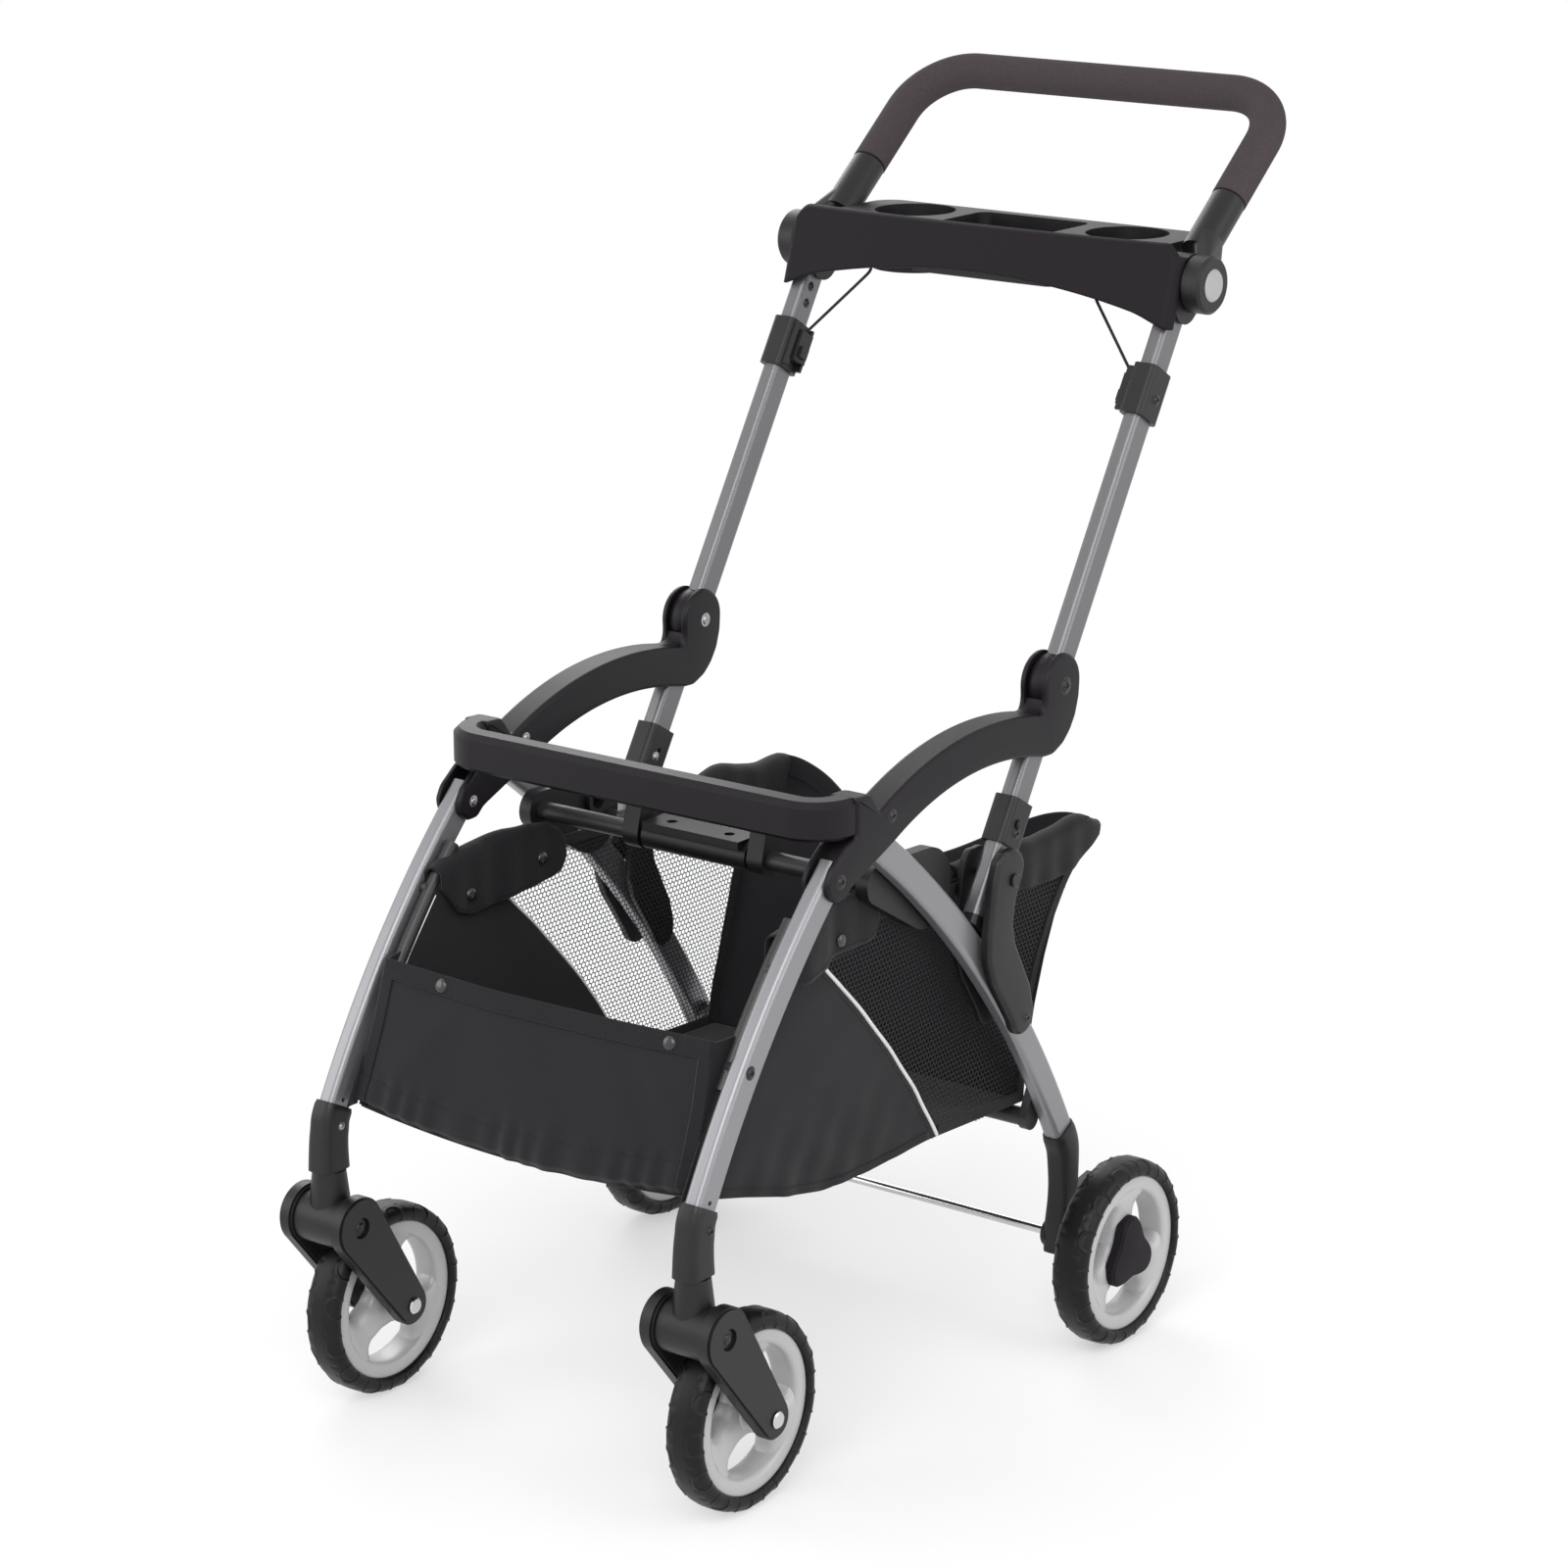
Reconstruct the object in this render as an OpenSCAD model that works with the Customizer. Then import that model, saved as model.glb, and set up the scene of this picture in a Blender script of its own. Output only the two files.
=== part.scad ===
// Folding car seat stroller frame. Millimetres, +Z up, front toward -Y, left side at +X, floor at z = 0.

/* [Side tubes] */
// distance of the side tube planes from the middle
side_x = 190; // [170:1:210]
// depth of the oval side tubes, front to back
tube_d = 26; // [22:0.5:30]
// width of the oval side tubes, across the frame
tube_w = 16; // [13:0.5:18]
// corner radius of the oval tubes
tube_r = 5; // [3:0.5:6]
// wall of the oval tubes
tube_t = 1.6; // [1:0.1:2.5]

/* [Front legs] */
// front leg screw in the arm, distance from the middle
leg_top_y = -247; // [-260:1:-235]
// front leg screw in the arm, height
leg_top_z = 492; // [480:1:500]
// slope of the front leg at the arm
leg_slope = 45; // [40:0.5:50]
// bend radius of the front leg
leg_bend = 930; // [850:5:1050]

/* [Rear legs] */
// rear leg pivot in the arm, distance from the middle
rear_top_y = -193; // [-200:1:-185]
// rear leg pivot in the arm, height
rear_top_z = 513; // [508:1:518]
// slope of the rear leg at its pivot
rear_slope = 36.1; // [33:0.1:39]
// bend radius of the rear leg
rear_bend = 960; // [900:5:1050]

/* [Arms] */
// bend radius of the arm along its middle
arm_bend = 325; // [315:1:335]
// thickness of the arm seen from the side
arm_h = 35; // [30:0.5:40]
// width of the arm
arm_w = 28; // [26:0.5:32]
// bevel on the long edges of the arm
arm_bevel = 5; // [2:0.5:7]
// knuckle pivot, distance from the middle
knuckle_y = 70.7; // [65:0.1:76]
// knuckle pivot height
knuckle_z = 584.7; // [580:0.1:590]
// radius of the knuckle cheeks
knuckle_r = 24; // [22:0.5:27]
// height of the front bar section
bar_h = 32; // [26:0.5:36]
// depth of the front bar section
bar_d = 24; // [18:0.5:27]
// corner radius of the front bar along its middle
bar_bend = 28; // [24:1:40]

/* [Posts and tray] */
// lean of the posts away from upright
post_lean = 31.3; // [28:0.1:34]
// post length from the knuckle up to the handle pivot
post_up = 365.5; // [340:0.5:380]
// post length from the knuckle down to its end
post_down = 207; // [195:1:210]
// wall of the sleeves and collars on the posts
sleeve_t = 3.5; // [2.5:0.1:5]
// place of the lower sleeve below the knuckle
sleeve_s = 124; // [115:1:135]
// place of the upper collar above the knuckle
collar_s = 262; // [240:1:275]
// top of the tray above the handle pivot
tray_rise = 30; // [26:1:34]
// cup well inner radius
cup_r = 36.5; // [32:0.5:38]
// cup well depth
cup_depth = 48; // [30:1:55]
// place of the cup wells from the middle
cup_x = 112; // [105:1:118]

/* [Handle] */
// rise of the handle above level
handle_rise = 39.3; // [30:0.1:50]
// reach of the handle from its pivot
handle_reach = 219; // [190:1:240]
// corner radius of the handle along its middle
handle_bend = 55; // [40:1:70]
// handle tube diameter
handle_tube_d = 20; // [16:0.5:22]
// foam grip diameter
grip_d = 32; // [28:0.5:36]
// radius of the handle hub discs
hub_r = 25; // [22:0.5:27]
// radius of the push buttons
button_r = 14; // [10:0.5:16]

/* [Wheels] */
// wheel diameter
wheel_d = 164; // [150:1:172]
// tyre width
tyre_w = 34; // [28:0.5:36]
// height of the tyre above the rim
tyre_h = 16; // [14:0.5:20]
// caster swivel axis, distance from the middle
caster_y = -420; // [-425:1:-415]
// height of the fork pivot barrel
barrel_z = 171; // [168:0.5:176]
// trail of the front axle behind the swivel axis
trail = 61; // [55:0.5:66]
// rear axle, distance from the middle
rear_axle_y = 97; // [92:0.5:102]
// middle of the rear wheels, from the middle of the frame
rear_wheel_x = 250; // [248:0.5:256]
// axle diameter
axle_d = 8; // [6:0.5:10]

/* [Mount and basket] */
// car seat mount tube, distance from the middle
mount_y = -164; // [-168:1:-160]
// car seat mount tube height
mount_z = 466; // [463:1:470]
// car seat mount tube diameter
mount_d = 16; // [12:0.5:18]
// height of the mount hooks above the tube
hook_h = 56; // [40:1:70]
// distance of the mount hooks from the middle
hook_x = 65; // [60:1:80]
// basket rail tube diameter
rail_d = 12; // [9:0.5:13]
// half width of the basket tub
basket_x = 168.5; // [160:0.5:169]
// thickness of the basket cloth
cloth_t = 3; // [2:0.1:4]

/* [Hidden] */
$fn = 64;
run = 0.05;
gap = 0.4;
K = [knuckle_y, knuckle_z];
A0 = [leg_top_y, leg_top_z];
RP = [rear_top_y, rear_top_z];
arm_c = [-38, 232];
x0 = side_x - tube_w / 2;
x1 = side_x + tube_w / 2;
ax0 = side_x - arm_w / 2;
ax1 = side_x + arm_w / 2;
FC = [A0[0] + leg_bend * sin(leg_slope), A0[1] - leg_bend * cos(leg_slope)];
RC = [RP[0] - rear_bend * sin(rear_slope), RP[1] - rear_bend * cos(rear_slope)];
function fleg(s, off = 0) = FC + (leg_bend + off) * [-sin(s), cos(s)];
function rleg(s, off = 0) = RC + (rear_bend + off) * [sin(s), cos(s)];
function on_post(s, off = 0) = K + s * [sin(post_lean), cos(post_lean)]
    + off * [cos(post_lean), -sin(post_lean)];
leg_end = 63.3;
rear_end = 63.8;
bar_y = A0[1] > 0 ? -225 - bar_bend : 0;
bar_z = 540;
H = on_post(post_up);
tray_z = H[1] + tray_rise;
S = on_post(-169.6, 4);
L = rleg(53.2);
wheel_r = wheel_d / 2;
rim_r = wheel_r - tyre_h;
fax = [caster_y + trail, wheel_r];
BC = [caster_y, barrel_z];
rax = [rear_axle_y, wheel_r];
split_z = 216;
swivel_r = 5;
fork_x = 21.5;
fork_t = 13.5;
inner_face = x0 - 12;
ring = [-95, 460];
plate_c = [-97, 446];
rail_a = [-74, 440];
rail_b = [188, 427];
rail_x = 160;
rail_len = norm(rail_b - rail_a);
rail_tilt = atan2(rail_b[1] - rail_a[1], rail_b[0] - rail_a[0]);
stay_x = 175.3;
cross = [64, 197];
F1 = fleg(55.3, 2);
F2 = fleg(50.2, 2);
steel = [0.62, 0.62, 0.64];
black = [0.12, 0.12, 0.13];
grey = [0.2, 0.18, 0.2];
pale = [0.8, 0.8, 0.8];
cloth = [0.18, 0.18, 0.2];

// which sub-part to draw

// side view helper: the drawing's two axes are the frame's Y and Z, and it thickens along X
module yz() { rotate([90, 0, 90]) children(); }
module slab(a, b) { yz() translate([0, 0, a]) linear_extrude(b - a) children(); }
module rod(p, a, b, r) { translate([a, p[0], p[1]]) rotate([0, 90, 0]) cylinder(h = b - a, r = r); }
module right() { mirror([1, 0, 0]) children(); }
module both() {
    children();
    mirror([1, 0, 0]) children();
}

// rounded rectangle about its middle
module rr(w, h, r) {
    union() {
        square([w - 2 * r, h], center = true);
        square([w, h - 2 * r], center = true);
        for (i = [-1, 1])
            for (j = [-1, 1])
                translate([i * (w / 2 - r), j * (h / 2 - r)]) circle(r);
    }
}

// two discs and the tangents between them
module link(p, r, q, s) {
    d = norm(q - p);
    a = atan2(q[1] - p[1], q[0] - p[0]);
    b = acos((r - s) / d);
    translate(p) circle(r);
    translate(q) circle(s);
    u = r - 0.03;
    v = s - 0.03;
    polygon([p + u * [cos(a + b), sin(a + b)], p + u * [cos(a - b), sin(a - b)],
        q + v * [cos(a - b), sin(a - b)], q + v * [cos(a + b), sin(a + b)]]);
}

// oval section swept round an arc in a side plane, from angle a to angle b
module sweep(c, r, a, b) {
    translate([side_x, 0, 0]) yz() translate(c) rotate(a) rotate_extrude(angle = b - a)
        translate([r, 0]) children();
}

// flat ring sector in the side view
module sector(c, ra, rb, a, b) {
    n = 8;
    translate(c) intersection() {
        difference() {
            circle(rb);
            circle(ra);
        }
        polygon(concat([[0, 0]], [for (i = [0:n]) 1.3 * rb * [cos(a + (b - a) * i / n), sin(a + (b - a) * i / n)]]));
    }
}

// disc across X with bevelled rims
module puck(p, a, b, r, c) {
    translate([a, p[0], p[1]]) rotate([0, 90, 0]) rotate_extrude()
        polygon([[0, 0], [r - c, 0], [r, c], [r, b - a - c], [r - c, b - a], [0, b - a]]);
}

module oval(extra = 0) { rr(tube_d + 2 * extra, tube_w + 2 * extra, tube_r + extra); }
module oval_wall() {
    difference() {
        oval();
        rr(tube_d - 2 * tube_t, tube_w - 2 * tube_t, tube_r - tube_t);
    }
}
module in_post(s) {
    p = on_post(s);
    translate([side_x, p[0], p[1]]) rotate([-post_lean, 0, 0]) children();
}
module post_bar(a, b, extra = 0) {
    in_post(a) linear_extrude(b - a) rr(tube_w + 2 * extra, tube_d + 2 * extra, tube_r + extra);
}
module in_handle() { translate([0, H[0], H[1]]) rotate([handle_rise, 0, 0]) children(); }

// the front legs
module front_leg() {
    color(steel) difference() {
        sweep(FC, leg_bend, 134.3, 90 + leg_end) oval_wall();
        rod(A0, x0 - 1, x1 + 1, 3 + run);
        rod(F1, x0 - 1, x1 + 1, 2.5 + run);
        rod(fleg(61.8), x0 - 1, x1 + 1, 2 + run);
    }
}
module front_leg_left() { front_leg(); }
module front_leg_right() { right() front_leg(); }

// the rear legs
module rear_leg() {
    color(steel) difference() {
        union() {
            sweep(RC, rear_bend, 90 - rear_end, 90 - rear_slope - 0.3) oval_wall();
            rod(RP, x0 + 0.4, x1 - 0.4, 10);
        }
        rod(RP, x0 - 1, x1 + 1, 4 + run);
    }
}
module rear_leg_left() { rear_leg(); }
module rear_leg_right() { right() rear_leg(); }

// room for the leg tops inside the arm
module leg_room() {
    w = tube_w / 2 + gap;
    slab(side_x - w, side_x + w) {
        sector(FC, leg_bend - tube_d / 2 - gap, leg_bend + tube_d / 2 + gap, 134, 152);
        translate(RP) circle(tube_d / 2 + 2.5);
        sector(RC, rear_bend - tube_d / 2 - gap, rear_bend + tube_d / 2 + 2, 90 - rear_slope - 8, 90 - rear_slope + 0.8);
        polygon([RP, RP + [-16, -5], RP + [-50, -60], RP + [0, -80], RP + [60, -60]]);
    }
}
// room for the post and its knuckle to swing between the cheeks
module knuckle_room() {
    w = tube_w / 2 + 2.5;
    slab(side_x - w, side_x + w) {
        translate(K) circle(knuckle_r + 5);
        polygon([on_post(0, -tube_d / 2 - 2), on_post(-110, -tube_d / 2 - 2), K + [60, -110], K + [60, 40], K]);
        polygon([K, K + [-4.4, -15.2], K + [-71.7, 4.4], K + [-71, 60], K + [0, 60]]);
    }
}
module arm() {
    f = -225;
    h = arm_h / 2;
    w = arm_w / 2 - 0.2;
    color(grey) difference() {
        union() {
            translate([side_x, 0, 0]) yz() translate(arm_c) rotate(72) rotate_extrude(angle = 46)
                translate([arm_bend, 0]) polygon([[-h + 2, -w], [h - arm_bevel, -w], [h, -w + arm_bevel],
                    [h, w - arm_bevel], [h - arm_bevel, w], [-h + 2, w], [-h, w - 2], [-h, -w + 2]]);
            puck(K + [-4.7, 2.3], ax0, ax1, knuckle_r, 3);
            puck(K + [-16.7, -13.2], ax0, ax1, 29, 3);
            slab(ax0, ax1) link(A0, 17, [-215, 512], 20);
            slab(ax0, ax1) polygon([[f, bar_z - bar_h / 2], [f, bar_z + bar_h / 2], [-204, bar_z + bar_h / 2],
                [-186, 540], [-170, 515], [-222, 490]]);
        }
        leg_room();
        knuckle_room();
        rod(A0, ax0 - 1, ax1 + 1, 3 + run);
        rod(K, ax0 - 1, ax1 + 1, 4 + run);
        rod(RP, ax0 - 1, ax1 - 1.5, 4 + run);
        rod([-177, 531.5], ax1 - 8, ax1 + 1, 2 + run);
        translate([ax0 - 1, f - 60, bar_z - bar_h / 2 - gap]) cube([arm_w + 2, 60, bar_h + 10]);
    }
}
module arm_left() { arm(); }
module arm_right() { right() arm(); }

// one bent bar from arm to arm
module front_bar() {
    e = 5;
    y = -225 - bar_bend;
    color(grey) {
        translate([bar_bend - side_x, y, bar_z]) rotate([0, 90, 0]) linear_extrude(2 * (side_x - bar_bend))
            bar_section(e);
        both() translate([side_x - bar_bend, -225, bar_z]) rotate([0, 0, -90]) rotate_extrude(angle = 90)
            translate([bar_bend, 0]) rotate(-90) bar_section(e);
    }
}
module bar_section(e) {
    a = bar_h / 2;
    b = bar_d / 2;
    polygon([[-a, -b + e], [-a + e, -b], [a - 3, -b], [a, -b + 3], [a, b - 3], [a - 3, b], [-a + e, b], [-a, b - e]]);
}

// sockets that hold the caster pins at the leg ends
module socket() {
    c = fleg(leg_end);
    difference() {
        union() {
            sweep(FC, leg_bend, 90 + 61.1, 90 + 63) rr(tube_d + 7, tube_w + 7, 8);
            hull($fn = 32) {
                sweep(FC, leg_bend, 90 + 62.8, 90 + 63) rr(tube_d + 8, tube_w + 8, 8.5, $fn = 32);
                translate([side_x, caster_y, split_z]) linear_extrude(2) rr(23, 28, 10, $fn = 32);
            }
        }
        sweep(FC, leg_bend, 90 + 60, 90 + leg_end + 0.05) oval(run);
        translate([side_x, caster_y, split_z - 1]) cylinder(h = 31, r = swivel_r + run);
        rod(fleg(61.8), x0 - 9, x1 + 9, 2 + run);
    }
}
module caster_sockets() { color(black) both() socket(); }

module screw(p, x, len, r, head) {
    rod(p, x - len, x, r);
    puck(p, x, x + 2.6, head, 1.2);
}
module frame_screws() {
    color(black) both() {
        screw(A0, ax1, arm_w, 3, 6.5);
        screw([-177, 531.5], ax1, 7, 2, 5);
        screw(F1, x1, x1 - stay_x, 2.5, 5);
        screw(fleg(61.8), x1 + 3.5, tube_w + 6, 2, 4.5);
    }
}
module pivot_bolts() {
    color(black) both() {
        rod(K, ax0 - 3, ax1 + 3, 4);
        puck(K, ax1, ax1 + 3, 8, 1);
        puck(K, ax0 - 3, ax0, 8, 1);
        rod(RP, ax0 - 3, ax1 - 2, 4);
        puck(RP, ax0 - 3, ax0, 7.5, 1);
    }
}

// stays inside the front legs that carry the basket front
module stay() {
    difference() {
        union() {
            translate([stay_x - side_x, 0, 0]) sweep(FC, leg_bend, 90 + 47.5, 90 + 56.5) circle(rail_d / 2);
            rod(F1, stay_x, x0, 5);
            rod(F2, stay_x, x0, 5);
        }
        rod(F1, stay_x - 1, x0 + 1, 2.5 + run);
    }
}
module basket_stays() { color(black) both() stay(); }
module basket_front_panel() {
    color(cloth) slab(-basket_x, basket_x)
        polygon([[-366, 386], [-361, 387], [-372, 340], [-400, 266], [-405, 264], [-378, 338]]);
}

// the posts
module post() {
    color(steel) difference() {
        in_post(-post_down) linear_extrude(post_down + post_up - 12) difference() {
            rr(tube_w, tube_d, tube_r);
            rr(tube_w - 2 * tube_t, tube_d - 2 * tube_t, tube_r - tube_t);
        }
        rod(K, x0 - 1, x1 + 1, 4 + run);
        rod(S, x0 - 1, x1 + 1, 3 + run);
        rod(on_post(-sleeve_s), x0 - 1, x1 + 1, 2 + run);
    }
}
module post_left() { post(); }
module post_right() { right() post(); }
module knuckle_housing() {
    w = tube_w / 2 + 2;
    difference() {
        union() {
            rod(K, side_x - w, side_x + w, knuckle_r - 2.5);
            in_post(-18) linear_extrude(36) rr(2 * w, tube_d + 5, 3);
        }
        post_bar(-40, 40, run);
        rod(K, ax0, ax1, 4 + run);
    }
}
module knuckle_housings() { color(black) both() knuckle_housing(); }
module post_sleeves() {
    w = tube_w + 2 * sleeve_t;
    d = tube_d + 2 * sleeve_t;
    color(grey) both() {
        difference() {
            in_post(-sleeve_s - 20) linear_extrude(40) rr(w, d, 6);
            post_bar(-sleeve_s - 25, -sleeve_s + 25, run);
            rod(on_post(-sleeve_s), x0 - 9, x1 + 9, 2 + run);
        }
        screw(on_post(-sleeve_s), x1 + sleeve_t, tube_w / 2 + 6, 2, 4.5);
    }
}
module collar() {
    w = tube_w + 2 * sleeve_t;
    d = tube_d + 2 * sleeve_t;
    difference() {
        union() {
            in_post(collar_s - 22.5) linear_extrude(45) rr(w, d, 6);
            for (j = [-1, 1])
                in_post(collar_s - 20) translate([-w / 2 - 6, j * 10.5 - 1.5, 0]) cube([8, 3, 40]);
        }
        post_bar(collar_s - 25, collar_s + 25, run);
    }
}
module post_collars() { color(black) both() collar(); }

// dark feet of the posts, cut to sit on the rear legs
module post_plugs() {
    color(black) both() difference() {
        union() {
            in_post(-post_down - 30) linear_extrude(30 - run) rr(tube_w, tube_d, tube_r);
            in_post(-post_down - 1) linear_extrude(15)
                rr(tube_w - 2 * tube_t - 2 * run, tube_d - 2 * tube_t - 2 * run, tube_r - tube_t);
        }
        translate([side_x, 0, 0]) yz() translate([RC[0], RC[1], -30]) cylinder(h = 60, r = rear_bend + tube_d / 2 + 0.8, $fn = 720);
    }
}

// pins that carry the braces on the posts
module brace_pins() {
    color(black) both() {
        rod(S, x0 - 12, x1 + 14.5, 3);
        puck(S, x1 + 14.5, x1 + 17, 6, 1);
        puck(S, x0 - 14, x0 - 12, 6, 1);
    }
}
module brace() {
    top = S + [1, 8];
    elbow = [-30, 378];
    foot = L + [-6, 3.5];
    color(black) difference() {
        union() {
            slab(x1 + 5, x1 + 14) {
                link(top, 16, elbow, 17);
                link(elbow, 17, foot, 16);
            }
            slab(x0 - 11.5, x0 - 5.5) {
                link(top, 14, elbow, 15);
                link(elbow, 15, foot, 14);
            }
            slab(x0 - 6, x1 + 6) link(elbow + [13, 4], 2.5, elbow + [21, 32], 2.5);
            puck(L, x1 + 14, x1 + 16, 6, 1);
        }
        rod(S, x0 - 20, x1 + 20, 3 + run);
        slab(x1 + 12, x1 + 15) {
            link(S + [-3, -16], 9, elbow, 10.5);
            link(elbow, 10.5, L + [-13, 16], 9);
        }
    }
}
module brace_left() { brace(); }
module brace_right() { right() brace(); }

// tray with two cup wells, a middle compartment and the handle pivot bosses
module tray_end() {
    difference() {
        union() {
            slab(x0 - 4, x1 + 4) link(H, hub_r, on_post(post_up - 18), 18.5);
            slab(x0 - 10, x0 + 2) translate(H) circle(hub_r - 0.5);
        }
        post_bar(post_up - 100, post_up - 11.5, run);
        rod(H, x0 - 9, x1 + 9, 5 + run);
    }
}
module tray() {
    fy = 232;
    by = 337;
    color(black) {
        difference() {
            union() {
                translate([0, (fy + by) / 2, tray_z - 8]) linear_extrude(8) rr(2 * (x0 - 9), by - fy, 22);
                both() slab(x0 - 18, x0 - 9) link(H, 22, [300, tray_z - 9], 7);
                both() translate([cup_x, 297, tray_z - cup_depth - 3]) cylinder(h = cup_depth + 3, r = cup_r + 2.5);
                translate([0, 290, tray_z - 24]) linear_extrude(24) rr(122, 76, 14);
                both() translate([66, 245, tray_z - 26.5]) cylinder(h = 22, r = 8);
            }
            both() translate([cup_x, 297, tray_z - cup_depth]) cylinder(h = cup_depth + 1, r = cup_r);
            translate([0, 290, tray_z - 21]) linear_extrude(22) rr(116, 70, 11);
            both() translate([66, 245, tray_z - 35]) cylinder(h = 26, r = 4 + run);
            apron_band(60, gap);
        }
        both() tray_end();
    }
}
// curved wall in front of the tray, with room ahead of it and behind it where it is a cut
module apron_band(ahead, behind) {
    r = 1984;
    translate([0, 208 + r, 0]) rotate([0, 0, -96]) rotate_extrude(angle = 12, $fn = 1440)
        polygon([[r + 1.2 + ahead, H[1] - 34], [r - 2.8 - behind, H[1] - 34], [r - 24.2 - behind, tray_z + 5],
            [r - 20.2 + ahead, tray_z + 5]]);
}
module tray_apron() {
    color(black) intersection() {
        difference() {
            apron_band(0, 0);
            translate([0, 150, H[1] - 764]) rotate([-90, 0, 0]) cylinder(h = 150, r = 760, $fn = 240);
        }
        translate([0, 300, tray_z - 46]) rotate([90, 0, 0]) linear_extrude(200) rr(2 * x1, 100, 13);
    }
}

// the handle: bent tube, foam grip, hub mouldings
module u_path(r, from) {
    w = side_x - handle_bend;
    e = handle_reach - handle_bend;
    both() {
        translate([side_x, from, 0]) rotate([-90, 0, 0]) cylinder(h = e - from, r = r);
        translate([w, e, 0]) rotate_extrude(angle = 90) translate([handle_bend, 0]) circle(r);
    }
    translate([-w, handle_reach, 0]) rotate([0, 90, 0]) cylinder(h = 2 * w, r = r);
}
module handle_tube() {
    color(steel) in_handle() difference() {
        u_path(handle_tube_d / 2, 48);
        u_path(handle_tube_d / 2 - 1.5, 40);
    }
}
module handle_grip() {
    color(black) in_handle() difference() {
        u_path(grip_d / 2, 96);
        u_path(handle_tube_d / 2 + run, 90);
    }
}
module hub() {
    a = x1 + 4 + gap;
    b = 222;
    difference() {
        union() {
            puck([0, 0], a, b, hub_r, 2.5);
            hull($fn = 32) {
                translate([a + 0.5, 14, -14]) cube([12, 1, 28]);
                translate([side_x, 50, 0]) rotate([-90, 0, 0]) cylinder(h = 1, r = 15.3);
            }
            translate([side_x, 34, 0]) rotate([-90, 0, 0]) cylinder(h = 60, r = 15.5);
        }
        rod([0, 0], a + 6.5, b + 1, button_r + run);
        translate([side_x, 47.5, 0]) rotate([-90, 0, 0]) cylinder(h = 60, r = handle_tube_d / 2 + run);
        rod([0, 0], x0 - 10, a - 0.01, hub_r + gap);
    }
    rod([0, 0], x0 + 6, a + 2, 5);
}
module handle_hubs() { color(black) in_handle() both() hub(); }
module button() { color(pale) in_handle() puck([0, 0], 213.5, 223.5, button_r, 1.5); }
module handle_button_left() { button(); }
module handle_button_right() { right() button(); }

// squeeze bar under the tray, lock sliders on the collars and their cords
module fold_release() {
    z = tray_z - 43;
    color(black) {
        translate([0, 245, z]) linear_extrude(7) rr(150, 20, 8);
        both() translate([66, 245, z + 3]) cylinder(h = 18, r = 4);
    }
}
module lock_sliders() {
    w = tube_w / 2 + sleeve_t;
    color(grey) both() in_post(collar_s - 14) {
        translate([-w - gap - 9, -8.5, 0]) cube([9, 17, 28]);
        translate([-w - gap - 12, -5, 4]) cube([6, 10, 10]);
    }
}
module cord_run(p, q, r) {
    d = q - p;
    translate(p) rotate([0, acos(d[2] / norm(d)), atan2(d[1], d[0])]) cylinder(h = norm(d), r = r);
}
module release_cords() {
    p = on_post(collar_s + 15.2);
    a = [side_x - 18, p[0], p[1]];
    b = [118, 238, tray_z - 48];
    c = [118, 238, tray_z - 24];
    color(cloth) both() {
        cord_run(a, b, 1.3);
        translate(b) sphere(1.6);
        cord_run(b, c, 1.3);
    }
}

// rear feet with the axle block and the brake lugs
brake_p = [rear_axle_y + 31, wheel_r + 14];
module foot() {
    difference() {
        union() {
            sweep(RC, rear_bend, 90 - 63.4, 90 - 60.6) rr(tube_d + 8, tube_w + 10, 8);
            hull($fn = 32) {
                sweep(RC, rear_bend, 90 - 63.4, 90 - 63.2) rr(tube_d + 9, tube_w + 11, 8.5, $fn = 32);
                rod(rax, side_x - 13, side_x + 13, 20);
            }
            for (a = [side_x - 12.8, side_x + 6.5])
                slab(a, a + 6.3) link(rax, 15, brake_p, 8);
        }
        sweep(RC, rear_bend, 90 - rear_end - 0.05, 90 - 58) oval(run);
        rod(rax, side_x - 30, side_x + 30, axle_d / 2 + run);
        slab(side_x - 6.5, side_x + 6.5) translate(brake_p) circle(14);
        slab(x0 - 20, x0 + gap) link(cross, 10 + gap, rleg(60), 9 + gap);
    }
    rod(brake_p, side_x - 8, side_x + 8, 3);
}
module rear_feet() { color(black) both() foot(); }
module brake_lever() {
    color(black) difference() {
        union() {
            slab(side_x - 6, side_x + 6) link(brake_p, 8, brake_p + [22, 9], 5);
            slab(side_x - 20, side_x + 22) link(brake_p + [18, 8], 4, brake_p + [44, 13], 4);
        }
        rod(brake_p, side_x - 30, side_x + 30, 3 + run);
    }
}
module brake_lever_left() { brake_lever(); }
module brake_lever_right() { right() brake_lever(); }
module rear_axle() { color(steel) rod(rax, -rear_wheel_x - 14, rear_wheel_x + 14, axle_d / 2); }

// tube under the rear of the basket and its end plates
module basket_cross_tube() {
    p = rleg(60);
    color(black) {
        rod(cross, -x0 + 6, x0 - 6, 8);
        both() slab(x0 - 8, x0 - 0.05) link(cross, 10, p, 9);
    }
}

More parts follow.
